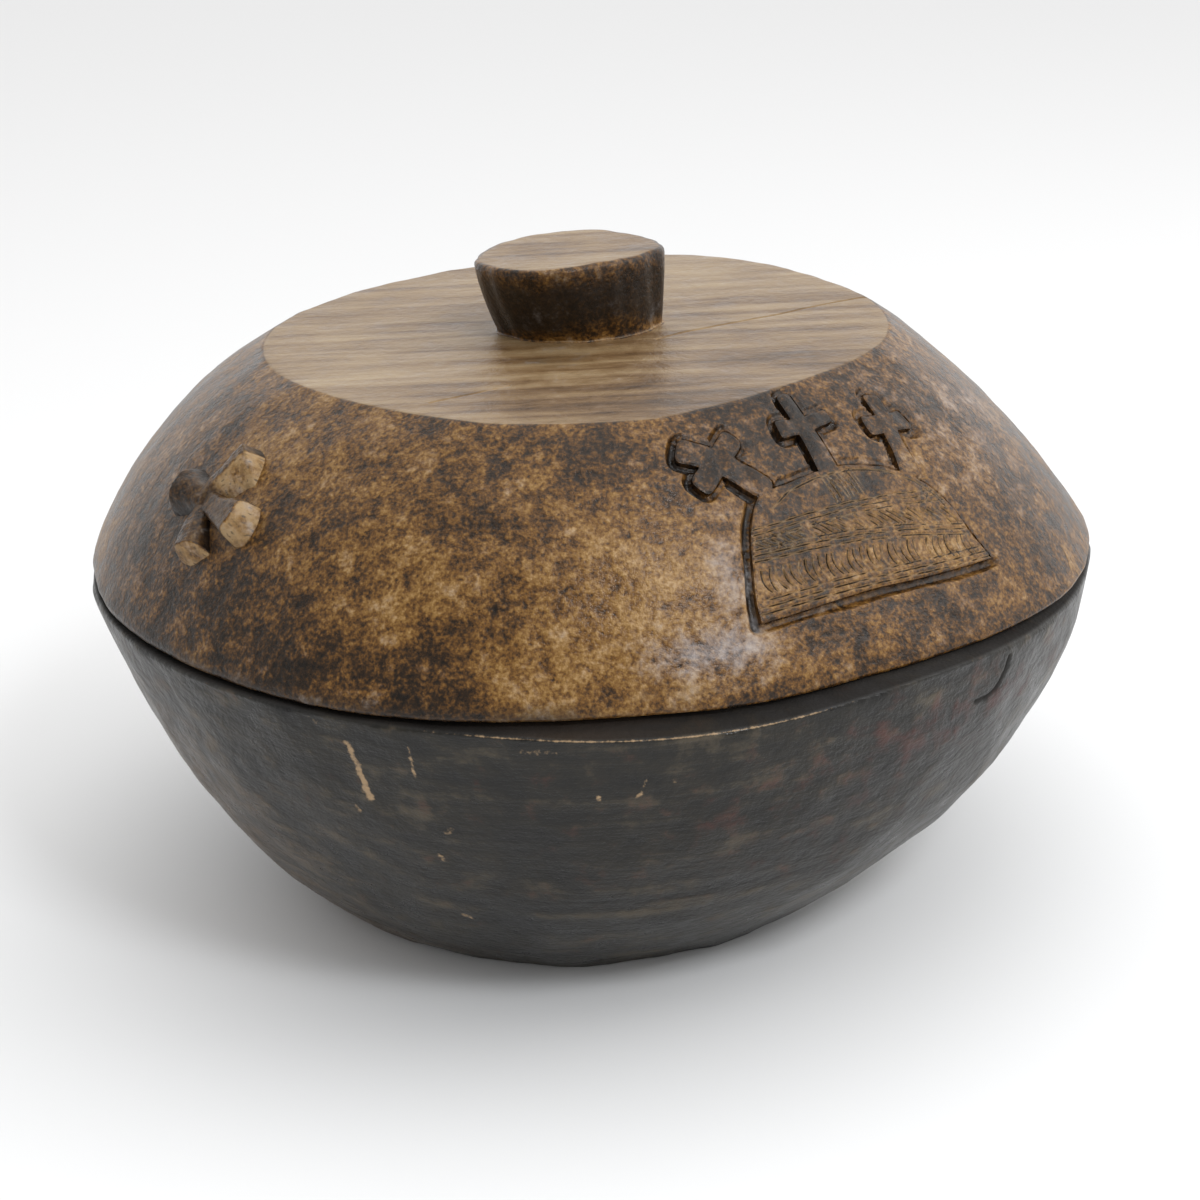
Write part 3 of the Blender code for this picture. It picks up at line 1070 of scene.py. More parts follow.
@dataclass(frozen=True)
class Cross:
    """A cross with blunt arms: its middle, and each arm's direction, length and widths."""

    middle: Point2
    arms: tuple
    blunt: float = 1.7

    def outline(self) -> Outline:
        """Draws the cross.

        Returns:
            Its outline in metres, blunt at the arms' ends and sharp between the arms.
        """
        middle = Vector(self.middle)
        frames = []
        for direction, length, root, tip in self.arms:
            turn = math.radians(direction)
            ahead = Vector((math.cos(turn), math.sin(turn)))
            frames.append((ahead, Vector((-ahead.y, ahead.x)), length, root / 2, tip / 2))
        points, roots = [], []
        for i, (ahead, aside, length, root, tip) in enumerate(frames):
            points += [middle + ahead * length - aside * tip, middle + ahead * length + aside * tip]
            # The corner is where this arm's left side meets the next arm's right side.
            next_ahead, next_aside, _, next_root, _ = frames[(i + 1) % len(frames)]
            gap = -next_aside * next_root - aside * root
            along = gap.cross(next_ahead) / ahead.cross(next_ahead)
            roots.append(len(points))
            points.append(middle + aside * root + ahead * along)
        ring = rounded([tuple(p * MM) for p in points], roots, self.blunt * MM)
        return Outline(tuple(ring))


@dataclass
class CrownDesign:
    """The drawing of the crown and its three crosses, in millimetres from its middle."""

    azimuth: float = math.radians(33.6)
    rise: float = 40.0
    reference: float = 176.5
    crown: tuple = (
        (-48.7, -13.7), (-34.0, -12.7), (-20.9, -11.9), (-2.2, -11.4), (17.7, -13.0),
        (40.8, -14.6), (53.3, -15.8), (52.2, -8.6), (51.3, -2.7), (50.4, 3.6), (49.6, 8.2),
        (48.0, 14.0), (42.8, 21.4), (36.2, 26.6), (26.2, 31.2), (15.0, 34.2), (3.8, 35.9),
        (-8.4, 35.6), (-20.0, 34.6), (-31.0, 33.8), (-35.3, 33.0), (-39.7, 28.3),
        (-43.7, 20.9), (-45.9, 12.7), (-47.6, 3.8), (-48.8, -5.7),
    )
    crown_corners: tuple = (0, 6)
    crosses: tuple = (
        Cross((-48.0, 50.0), ((36, 14.0, 9.6, 10.2), (156, 19.0, 9.4, 10.6), (220, 15.6, 9.6, 10.2),
                              (317, 25.0, 10.0, 10.4)), 3.8),
        Cross((2.8, 55.0), ((2, 17.6, 6.2, 5.6), (92, 14.6, 8.4, 8.8), (176, 15.0, 6.8, 8.0),
                            (268, 24.0, 9.6, 10.4)), 2.2),
        Cross((49.6, 44.8), ((-6, 13.8, 7.6, 8.8), (66, 13.6, 8.6, 8.8), (172, 12.8, 7.6, 8.8),
                             (248, 24.0, 8.6, 9.4)), 2.4),
    )

    def outlines(self) -> list[Outline]:
        """Draws the figures.

        Returns:
            The crown's outline, and then the crosses'.
        """
        ring = [(x * MM, y * MM) for x, y in self.crown]
        made = [Outline(tuple(rounded(ring, self.crown_corners, 6 * MM)))]
        return made + [cross.outline() for cross in self.crosses]

    def distance(self, across: np.ndarray, up: np.ndarray) -> tuple:
        """How far places lie from the whole figure's edge.

        Args:
            across: Places to the right.
            up: Places up.

        Returns:
            The distance, negative inside, and the nearest place's across and up.
        """
        best, near_u, near_v = np.full(across.shape, np.inf), across, up
        for outline in self.outlines():
            away, u, v = outline.distance(across, up)
            closer = away < best
            best = np.where(closer, away, best)
            near_u, near_v = np.where(closer, u, near_u), np.where(closer, v, near_v)
        return best, near_u, near_v

    def strokes(self) -> list[Stroke]:
        """Draws the incised lines and bands on the crown.

        Returns:
            The inner rim, three triple lines, two slanted bands, a tuft and a small cross.
        """
        inner = (
            (-30.0, 27.5), (-22.0, 31.4), (-8.0, 33.2), (3.5, 33.5), (14.5, 32.0), (25.0, 29.2),
            (34.0, 24.8), (40.5, 20.0), (45.5, 13.4), (46.5, 9.0),
        )
        upper = ((-41.5, 17.6), (-20.0, 18.6), (3.0, 18.4), (25.0, 16.2), (47.5, 12.2))
        lower = ((-44.0, 10.4), (-22.0, 10.2), (-2.0, 8.7), (23.0, 4.6), (49.0, -2.4))
        base = ((-46.0, -7.4), (-22.0, -6.4), (-2.0, -6.8), (20.0, -8.4), (51.0, -11.4))
        high_band = ((-42.5, 14.0), (-20.0, 14.4), (3.0, 13.6), (24.0, 10.2), (46.0, 4.6))
        low_band = ((-43.5, 0.6), (-20.0, 1.0), (-2.0, 0.0), (22.0, -3.0), (48.5, -8.0))
        tuft = ((-3.0, 27.6), (13.0, 28.0))
        small_cross = (((41.5, 19.0), (47.0, 11.5)), ((41.0, 13.6), (47.5, 17.8)))
        return [
            Stroke((inner,), 2.4, 3.4, 0, 0, 2, 1.3, 0.7),
            Stroke(tuple(shifted(upper, d) for d in (-1.7, 0.5, 2.6)), 4.0, 5.0, 1, 0, 2, 1.1, 0.6),
            Stroke(tuple(shifted(lower, d) for d in (-2.0, 0.2, 2.2)), 4.0, 5.2, 1, 0, 2, 1.2, 0.65),
            Stroke(tuple(shifted(base, d) for d in (-3.2, -1.0, 1.3)), 4.6, 5.8, 1, 0, 2, 1.2, 0.7),
            Stroke((high_band,), 3.1, 8.4, -40, 0.5, 9, 1.25, 0.8),
            Stroke((low_band,), 2.9, 8.0, -84, -2.6, 9, 1.35, 0.85),
            Stroke((tuft,), 2.0, 10.0, -80, 0.4, 6, 1.1, 0.6),
            Stroke(small_cross, 2.4, 3.2, 0, 0, 3, 1.1, 0.5),
        ]


def shifted(line: Sequence[Point2], up: float) -> tuple:
    """The same line moved up."""
    return tuple((x, y + up) for x, y in line)


# ---------------------------------------------------------------- the lid


class LidPart(Enum):
    """The lid's sections, from the knob's middle out and under to the hollow's crown."""

    KNOB_TOP = 0
    KNOB_EDGE = 1
    KNOB_SIDE = 2
    KNOB_ROOT = 3
    TABLE = 4
    SHOULDER = 5
    SIDE = 6
    EDGE = 7
    UNDERSIDE = 8
    SPIGOT = 9
    SPIGOT_FOOT = 10
    HOLLOW = 11


@dataclass
class Lid(Shell):
    """The domed lid: a round knob, a flat table, a bulging side and a low spigot."""

    name: str = "lid_wood_block"
    columns: int = 330
    rows: tuple = (9, 4, 12, 4, 24, 4, 40, 4, 5, 4, 3, 24)
    design: CrownDesign = field(default_factory=CrownDesign)
    top: float = CAD_HIGH.z
    table: float = 223.5 * MM
    low: float = 142.5 * MM
    under: float = 140.6 * MM
    spigot_radius: float = 176 * MM
    spigot_low: float = 132.5 * MM
    spigot_wall: float = 10 * MM
    hollow_top: float = 205.5 * MM
    hollow_power: float = 2.6
    knob_power: float = 1.55
    knob_bevel: float = 2.8 * MM
    root_bevel: float = 1.6 * MM
    arris: float = 1.7 * MM
    edge_bevel: float = 2.2 * MM
    knob_middle: Point2 = (-3.0 * MM, -1.0 * MM)
    foot_middle: Point2 = (-0.6 * MM, 4.0 * MM)
    foot_radii: Point2 = (32.4 * MM, 28.8 * MM)
    knob_drop: float = 0.35 * MM
    knob_dish: float = 0.3 * MM
    side_length: float = 110.75
    shoulder_length: float = 2.6
    table_length: float = 90.0
    moat: float = 4.2 * MM
    moat_width: float = 5.0 * MM
    moat_floor: float = 2.2 * MM
    crack_room: float = 4.5
    glow: tuple = (
        (0.9, (-8, 48), (22, 26)), (0.5, (4, 20), (16, 16)), (-0.75, (-52, 22), (14, 15)),
        (-0.5, (-20, 14), (8, 12)), (-0.55, (-18, 98), (26, 12)), (-0.35, (58, 20), (24, 20)),
        (0.35, (12, 8), (14, 8)),
    )
    # Painted highlights and sheen on the side, each (strength, place, reach).
    bloom: tuple = (
        (0.62, (11, 19), (8, 9)), (0.5, (15.5, 46), (3, 18)), (0.30, (70, 70), (26, 34)),
        (0.2, (-80, 50), (18, 40)),
    )
    browned_table: tuple = ((1.1, (-10, -105), (75, 30)), (0.8, (75, -55), (50, 30)))
    shoulder: Around = field(default_factory=lambda: Around((
        (-154, 124.0), (-144, 122.7), (-134, 123.0), (-123, 123.5), (-100, 126), (-67, 125),
        (-50, 124), (-38, 124.5), (-26, 127), (-16, 132), (0, 133), (11, 134), (17, 129),
        (24, 126), (32, 122.5), (42, 120), (60, 121), (68, 122), (108, 119), (124, 120),
        (137, 124), (147, 128), (158, 130.5), (172, 127),
    )))
    brim: Around = field(default_factory=lambda: Around((
        (-120, 198.0), (-100, 198.6), (-80, 199.2), (-64, 199.2), (-54, 198.0), (-40, 198.0),
        (-25, 199.8), (-16, 198.8),
        (-3, 196), (5, 194.5), (15, 196), (27, 192.3), (36, 193.3), (48, 197), (60, 201),
        (75, 200.0), (95, 197.5), (130, 197.5), (180, 198),
    )))
    lift: Around = field(default_factory=lambda: Around((
        (-150, 0.5), (-120, 2.5), (-90, 4.5), (-60, 3.2), (-30, 0.8), (0, 0.0), (60, -1.4),
        (90, -2.4), (120, -1.4), (160, 0.0),
    ), 8.0))
    knob_rim: Around = field(default_factory=lambda: Around((
        (-76.6, 37.8), (-120, 34.3), (-140.6, 34.5), (-167, 36.0), (168, 37.5), (132, 35.5),
        (86.6, 37.1), (72, 34.6), (42, 30.6), (7, 33.2), (-17, 38.0), (-39, 38.7), (-61, 39.5),
    ), 6.0))

    def turn(self, azimuth: np.ndarray) -> np.ndarray:
        """How much the side bulges, as the arc's angle."""
        side = np.sin(azimuth)
        return np.radians(35.0 - np.where(side > 0, 14.0, 6.0) * side)

    def knob_ring(self, azimuth: np.ndarray, share: np.ndarray) -> tuple:
        """One ring of the knob, which is oval at its foot and flares to its rim.

        Args:
            azimuth: Angles in radians.
            share: Share of the knob's height.

        Returns:
            The radius, and the middle's x and y.
        """
        eased = 1 - np.clip(1 - share, 0, 1) ** self.knob_power
        foot = 1 / np.hypot(
            np.sin(azimuth) / self.foot_radii[0], np.cos(azimuth) / self.foot_radii[1]
        )
        facets = ripple(azimuth, ((9, 0.34, 1.0), (14, 0.26, 0.4), (23, 0.14, 2.0))) * MM
        radius = mixed(foot, self.knob_rim.at(azimuth) * MM, eased) + facets
        middle = [mixed(self.foot_middle[i], self.knob_middle[i], eased) for i in (0, 1)]
        return radius, middle[0], middle[1]

    def surface(self, azimuth: np.ndarray, station: np.ndarray) -> np.ndarray:
        """Places on the lid.

        Args:
            azimuth: Angles in radians.
            station: Section numbers plus shares.

        Returns:
            The places as rows.
        """
        rings = Rings(azimuth, station, len(self.rows))
        self.put_top(rings)
        self.put_side(rings)
        self.put_hollow(rings)
        return rings.places()

    def put_top(self, rings: Rings) -> None:
        """Lays the knob and the table.

        Args:
            rings: Takes the points.
        """
        azimuth, share, one = rings.azimuth, rings.share, rings.one
        tall = self.top - self.table
        below, root = 1 - self.knob_bevel / tall, self.root_bevel / tall
        rim, rim_x, rim_y = self.knob_ring(azimuth, one)
        neck, neck_x, neck_y = self.knob_ring(azimuth, below * one)
        waist, waist_x, waist_y = self.knob_ring(azimuth, root * one)
        foot, foot_x, foot_y = self.knob_ring(azimuth, 0 * one)
        waver = ripple(azimuth, ((1, 0.35, 0.4), (2, 0.3, 1.1), (5, 0.15, 0.2))) * MM
        crest = self.top - self.knob_drop
        dish = crest + waver * share**2 - self.knob_dish * (1 - share**2)
        near = rim - self.knob_bevel
        rings.put(LidPart.KNOB_TOP, (near * share, dish), (rim_x, rim_y))
        crest = crest + waver
        low = (neck, self.table + tall * below)
        middle = (mixed(rim_x, neck_x, share), mixed(rim_y, neck_y, share))
        rings.put(LidPart.KNOB_EDGE, corner((near, crest), (rim, crest), low, share), middle)
        level = mixed(below, root, share)
        flank, *middle = self.knob_ring(azimuth, level)
        rings.put(LidPart.KNOB_SIDE, (flank, self.table + tall * level), middle)
        high, spread = (waist, self.table + self.root_bevel), foot + self.root_bevel
        middle = (mixed(waist_x, foot_x, share), mixed(waist_y, foot_y, share))
        ring = corner(high, (foot, self.table), (spread, self.table), share)
        rings.put(LidPart.KNOB_ROOT, ring, middle)
        lip = self.shoulder.at(azimuth) * MM - self.arris
        middle = (foot_x * (1 - share), foot_y * (1 - share))
        rings.put(LidPart.TABLE, (mixed(spread, lip, share), self.table), middle)

    def put_side(self, rings: Rings) -> None:
        """Lays the shoulder, the side, the edge and the flat under it.

        Args:
            rings: Takes the points.
        """
        azimuth, share = rings.azimuth, rings.share
        shoulder, brim = self.shoulder.at(azimuth) * MM, self.brim.at(azimuth) * MM
        lift = self.lift.at(azimuth) * MM
        under = self.under + np.where(lift > 0, 0.5 * lift, lift)
        high = (shoulder + self.arris * 0.75, self.table - self.arris * 0.62)
        low, inner = (brim, self.low + lift), brim - self.edge_bevel
        lip = (shoulder - self.arris, self.table)
        rings.put(LidPart.SHOULDER, corner(lip, (shoulder, self.table), high, share))
        rings.put(LidPart.SIDE, bulge(low, high, self.turn(azimuth), 1 - share))
        rings.put(LidPart.EDGE, corner(low, (brim, under), (inner, under), share))
        level = mixed(self.under, under, (1 - share) ** 4)
        rings.put(LidPart.UNDERSIDE, (mixed(inner, self.spigot_radius, share), level))

    def put_hollow(self, rings: Rings) -> None:
        """Lays the spigot and the hollow.

        Args:
            rings: Takes the points.
        """
        share, inner = rings.share, self.spigot_radius - self.spigot_wall
        rings.put(LidPart.SPIGOT, (self.spigot_radius, mixed(self.under, self.spigot_low, share)))
        rings.put(LidPart.SPIGOT_FOOT, (mixed(self.spigot_radius, inner, share), self.spigot_low))
        deep = self.hollow_top - self.spigot_low
        across, along = superarc(share, inner, deep, self.hollow_power)
        rings.put(LidPart.HOLLOW, (across, self.spigot_low + along))

    def drawing(self, azimuth: np.ndarray, station: np.ndarray) -> tuple:
        """Turns places on the table, shoulder and side into places on the crown's drawing.

        Args:
            azimuth: Angles in radians.
            station: Section numbers plus shares.

        Returns:
            Across and up on the drawing.
        """
        shoulder, side = LidPart.SHOULDER.value, LidPart.SIDE.value
        across = (azimuth - self.design.azimuth) * self.design.reference * MM
        on_table = (station - shoulder) * self.table_length - self.shoulder_length
        down = (station - side) * self.side_length
        down = np.where(station < side, (station - side) * self.shoulder_length, down)
        down = np.where(station < shoulder, on_table, down)
        return across, (self.side_length - down - self.design.rise) * MM

    def zones(self) -> list[Zone]:
        """Finer round the carved figures and along the table's cracks.

        Returns:
            The zones.
        """

        def near_figure(azimuth: np.ndarray, station: np.ndarray) -> np.ndarray:
            """Whether places lie on the side near the crown and its crosses.

            Args:
                azimuth: Angles in radians.
                station: Section numbers plus shares.

            Returns:
                True at each place that does.
            """
            across, up = (row / MM for row in self.drawing(azimuth, station))
            inside = (abs(across) < 75) & (up > -28) & (up < 74) & (station > 4.9)
            return inside & (station < LidPart.EDGE.value)

        def near_crack(azimuth: np.ndarray, station: np.ndarray) -> np.ndarray:
            """Whether places lie on the table near a crack.

            Args:
                azimuth: Angles in radians.
                station: Section numbers plus shares.

            Returns:
                True at each place that does.
            """
            place = self.surface(azimuth, station) / MM
            paths = [line for crack in self.cracks() for line in crack.lines]
            away = np.min([from_path(place[:, 0], place[:, 1], path) for path in paths], axis=0)
            return (station > LidPart.TABLE.value) & (station < 5.9) & (away < self.crack_room)

        return [Zone(near_figure, 4), Zone(near_crack, 5)]

    def cracks(self) -> list[Stroke]:
        """Draws the cracks along the grain of the table.

        Returns:
            A long crack and a short one.
        """
        long_line = (
            (30.2, -23.9), (38.3, -17.7), (54.5, -7.7), (77.1, 3.8), (96.4, 16.5), (117.0, 27.0),
        )
        short_line = ((-53.0, -98.0), (-40.0, -90.0), (-28.0, -82.0))
        return [
            Stroke((long_line,), 3.0, 3.8, 0, 0, 3, 1.9, 1.5),
            Stroke((short_line,), 2.6, 3.4, 0, 0, 6, 1.6, 1.1),
        ]

    def on_table(self, across: np.ndarray, back: np.ndarray) -> tuple:
        """Lays drawn places on the table.

        Args:
            across: Their x.
            back: Their y.

        Returns:
            The points and the unit directions.
        """
        height = np.full_like(across, self.table)
        outward = np.tile([0.0, 0.0, 1.0], (len(across), 1))
        return np.stack([across, back, height], axis=-1), outward

    def on_side(
        self, across: np.ndarray, up: np.ndarray, azimuth: float, rise: float, reference: float
    ) -> tuple:
        """Points and outward directions on the side.

        Args:
            across: Places to the right of a carving's middle, in metres.
            up: Places up from its middle, in metres.
            azimuth: The carving's middle, in radians.
            rise: The carving's middle above the lid's edge, along the side, in millimetres.
            reference: The radius that turns across into an angle, in millimetres.

        Returns:
            The points and the unit directions.
        """
        step, end = 0.002, LidPart.EDGE.value
        angle = azimuth + across / (reference * MM)
        station = end - (rise * MM + up) / (self.side_length * MM)
        station = np.clip(station, LidPart.SIDE.value, end - 1e-6)
        middle = self.surface(angle, station)
        right = self.surface(angle + step, station) - middle
        down = self.surface(angle, np.minimum(station + step, end - 1e-5)) - middle
        outward = np.cross(down, right)
        outward /= np.linalg.norm(outward, axis=1)[:, None] + 1e-12
        return middle, outward

    def ditch(self, azimuth: np.ndarray, station: np.ndarray) -> tuple:
        """The ground cut down round the figures, deepest to their left and below them.

        Args:
            azimuth: Angles in radians.
            station: Section numbers plus shares.

        Returns:
            Share of the full depth, and how golden the ditch's outer slope is: fresh-cut wood, with
            painted light where the slope faces the light.
        """
        across, up = self.drawing(azimuth, station)
        near = (abs(across) < 0.085) & (up > -0.03) & (up < 0.09) & (station > 4.5)
        near &= station < LidPart.EDGE.value
        across, up, station = across[near], up[near], station[near]
        away, near_u, near_v = self.design.distance(across, up)
        reach = np.maximum(abs(away), 0.5 * MM)
        leftward = np.where(away > 0, (near_u - across) / reach, 0.3)
        downward = np.where(away > 0, (near_v - up) / reach, 0.3)
        deep = np.clip(0.48 + 0.50 * leftward + 0.20 * downward, 0.10, 1.0)
        wide = self.moat_width * (0.55 + 0.45 * deep)
        wide = wide * (1 + 0.18 * np.sin(across * 130) * np.cos(up * 170))
        slope = 1 - ease(0.0, 1.0, (away - self.moat_floor) / (wide - self.moat_floor))
        ditch, gold_and_light = np.zeros_like(azimuth), np.zeros_like(azimuth)
        ditch[near] = slope * deep * ease(4.95, 5.7, station)
        # Fresh-cut wood plus painted light, strongest to the figures' left and below, where the slope
        # faces the light.
        gold_and_light[near] = np.clip(1 - abs(away - 0.95 * wide) / (0.45 * wide), 0, 1) * (0.4 + 0.6 * deep)
        return ditch, gold_and_light

    def shape(self) -> bpy.types.Object:
        """Draws the block, cuts the ground down round the figures and paints its traits.

        Returns:
            The block, in the scene.
        """
        piece = self.net()
        mesh = piece.data
        azimuth, station = self.drawn_at(mesh)
        ditch, gold_and_light = self.ditch(azimuth, station)
        write_places(mesh, read_places(mesh) - read_normals(mesh) * (ditch * self.moat)[:, None])
        self.paint(mesh, azimuth, station, ditch, gold_and_light)
        return piece

    def paint(
        self, mesh: bpy.types.Mesh, azimuth: np.ndarray, station: np.ndarray, ditch: np.ndarray,
        gold_and_light: np.ndarray,
    ) -> None:
        """Writes the point attributes that the finish reads.

        Args:
            mesh: The block's mesh.
            azimuth: Each point's angle in radians.
            station: Each point's section number plus share.
            ditch: How deep each point lies in the ditch.
            gold_and_light: How golden each point is from the ditch's slope: fresh-cut wood with
                painted light.
        """
        degrees = np.degrees(azimuth)
        rise = (LidPart.EDGE.value - station) * self.side_length
        place = read_places(mesh) / MM
        on_side = ease(5.0, 5.6, station) * (1 - ease(7.2, 8.0, station))
        on_table = ease(3.6, 4.02, station) * (1 - ease(5.0, 5.7, station))
        knob_top = 1 - ease(0.9, 1.35, station)
        knob_side = ease(1.95, 2.35, station) * (1 - ease(2.80, 3.10, station))
        golden_foot = spot(degrees, station, (28, 2.9), (26, 0.16))
        set_trait(mesh, Trait.TOP, np.maximum(on_table, knob_top))

        # Warm tone spots on the side, plus the ditch slope's gold, which is partly painted light; the
        # low spot at the front right is partly a painted highlight.
        glow = spots(degrees, rise, self.glow) * on_side + 0.7 * gold_and_light
        glow -= spots(place[:, 0], place[:, 1], self.browned_table) * on_table
        set_trait(mesh, Trait.GLOW, glow)

        before_knob = spot(place[:, 0], place[:, 1], (-12, -48), (20, 16))
        edge_dark = ease(6.92, 7.0, station) * (1 - ease(7.6, 8.0, station))
        soot = knob_side * (0.74 - 0.42 * golden_foot)
        soot += 0.30 * ease(0.9, 1.6, station) * (1 - ease(2.0, 2.4, station))
        soot += 0.5 * on_side * spot(degrees, rise, (-41, 55), (3.2, 5))
        # Painted shade: dark on the ditch's floor round the figures; darker on the table in front of
        # the knob, partly dirt and partly a painted contact shadow.
        soot += 0.40 * on_table * before_knob + 0.80 * ease(0.45, 0.90, ditch)
        # A darker band along the lid's lower edge, stronger left of the front.
        soot += (0.20 + 0.32 * (1 - ease(-4, 6, degrees))) * edge_dark
        set_trait(mesh, Trait.SOOT, soot)

        foot_line = band(station, 3.45, 0.40) * ease(-75, -10, degrees)
        worn = 0.10 * band(station, 1.3, 0.5) * ease(-60, 40, degrees)
        worn += 0.46 * foot_line * (1 - ease(95, 140, degrees)) + 0.20 * band(station, 5.5, 0.35)
        # The pale patch just above the front-right edge is partly wear and partly a painted highlight.
        worn += 0.30 * on_side * spot(degrees, rise, (8, 6), (13, 5)) + 0.14 * golden_foot
        set_trait(mesh, Trait.WORN, worn)

        # Painted highlights and sheen in pale grey on the side.
        set_trait(mesh, Trait.BLOOM, on_side * spots(degrees, rise, self.bloom))
        set_trait(mesh, Trait.INSIDE, ease(8.2, 9.0, station))
        tooled = 0.9 * on_side + 0.35 * on_table + 0.3 * knob_side + 0.4 * knob_top
        set_trait(mesh, Trait.TOOLED, tooled + 0.8 * ease(11.0, 11.3, station))
        set_trait(mesh, Trait.CUT, np.zeros_like(azimuth))

    def build(self, tools: "Tools", wood: bpy.types.Material) -> bpy.types.Object:
        """Makes the finished lid block.

        Args:
            tools: The carving trees.
            wood: The lid's finish.

        Returns:
            The block.
        """
        piece = self.shape()
        piece.data.materials.append(wood)
        tools.adze.apply(
            piece,
            {"Scoop Size": 0.026, "Scoop Depth": 0.0011, "Waver Size": 0.011,
             "Waver Depth": 0.0009, "Seed": 3.0, "Wood": wood},
        )
        for seed, crack in enumerate(self.cracks(), 11):
            crack.cut(tools.chisel, piece, wood, seed, self.on_table)
        finish_piece(piece, Body.LID, 65.0)
        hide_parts("lid")
        return piece


@dataclass
class CrownRelief:
    """The crown and its crosses, left standing in the lid's cut-down ground."""

    lid: Lid
    name: str = "crown_and_crosses"
    grain: float = 0.36 * MM
    foot: float = 7.5 * MM
    crest: float = -0.1 * MM
    arris: float = 0.8 * MM
    arris_drop: float = 0.35 * MM

    def lay(self, across: np.ndarray, up: np.ndarray) -> tuple:
        """Points and outward directions of drawn places."""
        design = self.lid.design
        return self.lid.on_side(across, up, design.azimuth, design.rise, design.reference)

    def draw(self) -> bpy.types.Mesh:
        """Draws the relief's face and wall, and writes its traits.

        Returns:
            The mesh.
        """
        design = self.lid.design
        every = np.array([p for o in design.outlines() for p in o.points])
        low, high = every.min(0) - 2 * self.grain, every.max(0) + 2 * self.grain
        wide, tall = (int((high[i] - low[i]) / self.grain) + 2 for i in (0, 1))
        across, up = np.meshgrid(
            low[0] + np.arange(wide) * self.grain, low[1] + np.arange(tall) * self.grain
        )
        across, up = across.ravel(), up.ravel()
        away, near_u, near_v = design.distance(across, up)
        outside = away > 0
        across, up = np.where(outside, near_u, across), np.where(outside, near_v, up)
        edge = np.clip(-away, 0, None)
        lift = self.crest - self.arris_drop * (1 - ease(0.0, self.arris, edge))
        lift += 0.30 * MM * np.sin(across * 260 + 1.0) * np.sin(up * 310)
        lift += 0.16 * MM * np.sin(across * 700)
        place, outward = self.lay(across, up)
        mesh, used = grid_mesh(self.name, place + outward * lift[:, None], wide, ~outside)
        set_outward(mesh, outward[used])
        across, up = across[used], up[used]
        on_crown = 1 - ease(-0.001, 0.002, design.outlines()[0].distance(across, up)[0])
        pale = spot(across / MM, up / MM, (12, -2), (44, 14))
        set_trait(mesh, Trait.GLOW, mixed(-0.50, -0.05 + 0.60 * pale, on_crown))
        set_trait(mesh, Trait.SOOT, 0.19 * (1 - on_crown))
        self.wall(mesh)
        return mesh

    def build(self, tools: "Tools", wood: bpy.types.Material) -> bpy.types.Object:
        """Makes the finished relief.

        Args:
            tools: The carving trees.
            wood: The lid's finish.

        Returns:
            The relief.
        """
        piece = in_scene(self.name, self.draw())
        piece.data.materials.append(wood)
        for seed, stroke in enumerate(self.lid.design.strokes(), 21):
            stroke.cut(tools.chisel, piece, wood, seed, self.lay)
        piece.data.attributes.remove(piece.data.attributes[Trait.OUTWARD.value])
        finish_piece(piece, Body.LID, 55.0)
        return piece

    def wall(self, mesh: bpy.types.Mesh) -> None:
        """Drops a wall from the figure's edge into the ground, painted dark as shade.

        Args:
            mesh: The relief's face, which the wall is joined to.
        """
        edit = bmesh.new()
        edit.from_mesh(mesh)
        outward = edit.verts.layers.float_vector[Trait.OUTWARD.value]
        dark = edit.verts.layers.float[Trait.SOOT.value]
        bmesh.ops.remove_doubles(edit, verts=edit.verts[:], dist=0.00003)
        rim = [e for e in edit.edges if e.is_boundary]
        # Each step down the wall is painted darker, as shade.
        for depth, shade in ((0.40 * self.foot, 0.50), (0.60 * self.foot, 0.80)):
            grown = bmesh.ops.extrude_edge_only(edit, edges=rim)["geom"]
            for vert in [g for g in grown if isinstance(g, bmesh.types.BMVert)]:
                vert.co -= vert[outward] * depth
                vert[dark] = shade
            rim = [g for g in grown if isinstance(g, bmesh.types.BMEdge) and g.is_boundary]
        bmesh.ops.recalc_face_normals(edit, faces=edit.faces[:])
        middle = max(edit.faces, key=lambda f: f.calc_center_median().z)
        if middle.normal.z < 0:
            bmesh.ops.reverse_faces(edit, faces=edit.faces[:])
        edit.to_mesh(mesh)
        edit.free()


@dataclass(frozen=True)
class Lobe:
    """One lobe of the boss, in millimetres: a ridge that climbs to a cut-off end."""

    direction: float
    length: float
    root_width: float
    left: float
    right: float
    root_height: float
    tip_height: float
    sharpness: float
    end_angle: float
    light_side: float = 0.0

    def height(self, across: np.ndarray, up: np.ndarray) -> tuple:
        """The lobe over drawn places.

        Args:
            across: Places to the right of the boss's middle.
            up: Places up from its middle.

        Returns:
            The height, and how pale the wood is: worn bare on the end facet, with painted light there
                and on the light side.
        """
        turn = math.radians(self.direction)
        along = across * math.cos(turn) + up * math.sin(turn)
        aside = -across * math.sin(turn) + up * math.cos(turn)
        share = np.clip(along / self.length, 0, 1)
        ridge = mixed(self.root_height, self.tip_height, share)
        half = mixed(self.root_width / 2, np.where(aside > 0, self.left, self.right), share)
        power = np.where((aside > 0) & (self.light_side > 0), 4.0, self.sharpness)
        flank = ridge * (1 - (abs(aside) / half) ** power)
        bow = 0.055 * aside**2
        end = (self.length - along - bow) * math.tan(math.radians(self.end_angle))
        back = (along + 3.0) * 3.0
        body = np.minimum(np.minimum(flank, end), back)
        bare = ease(-0.5, 0.7, flank - end) * ease(-1.5, 0.5, body)
        bare = np.where((self.light_side > 0) & (aside > -0.5), 0.0, bare)
        # Painted light: the flank towards the light is drawn pale.
        lit = ease(-0.5, 1.6, -aside) * ease(0.15, 0.4, share) * self.light_side
        return body, np.maximum(bare, lit)


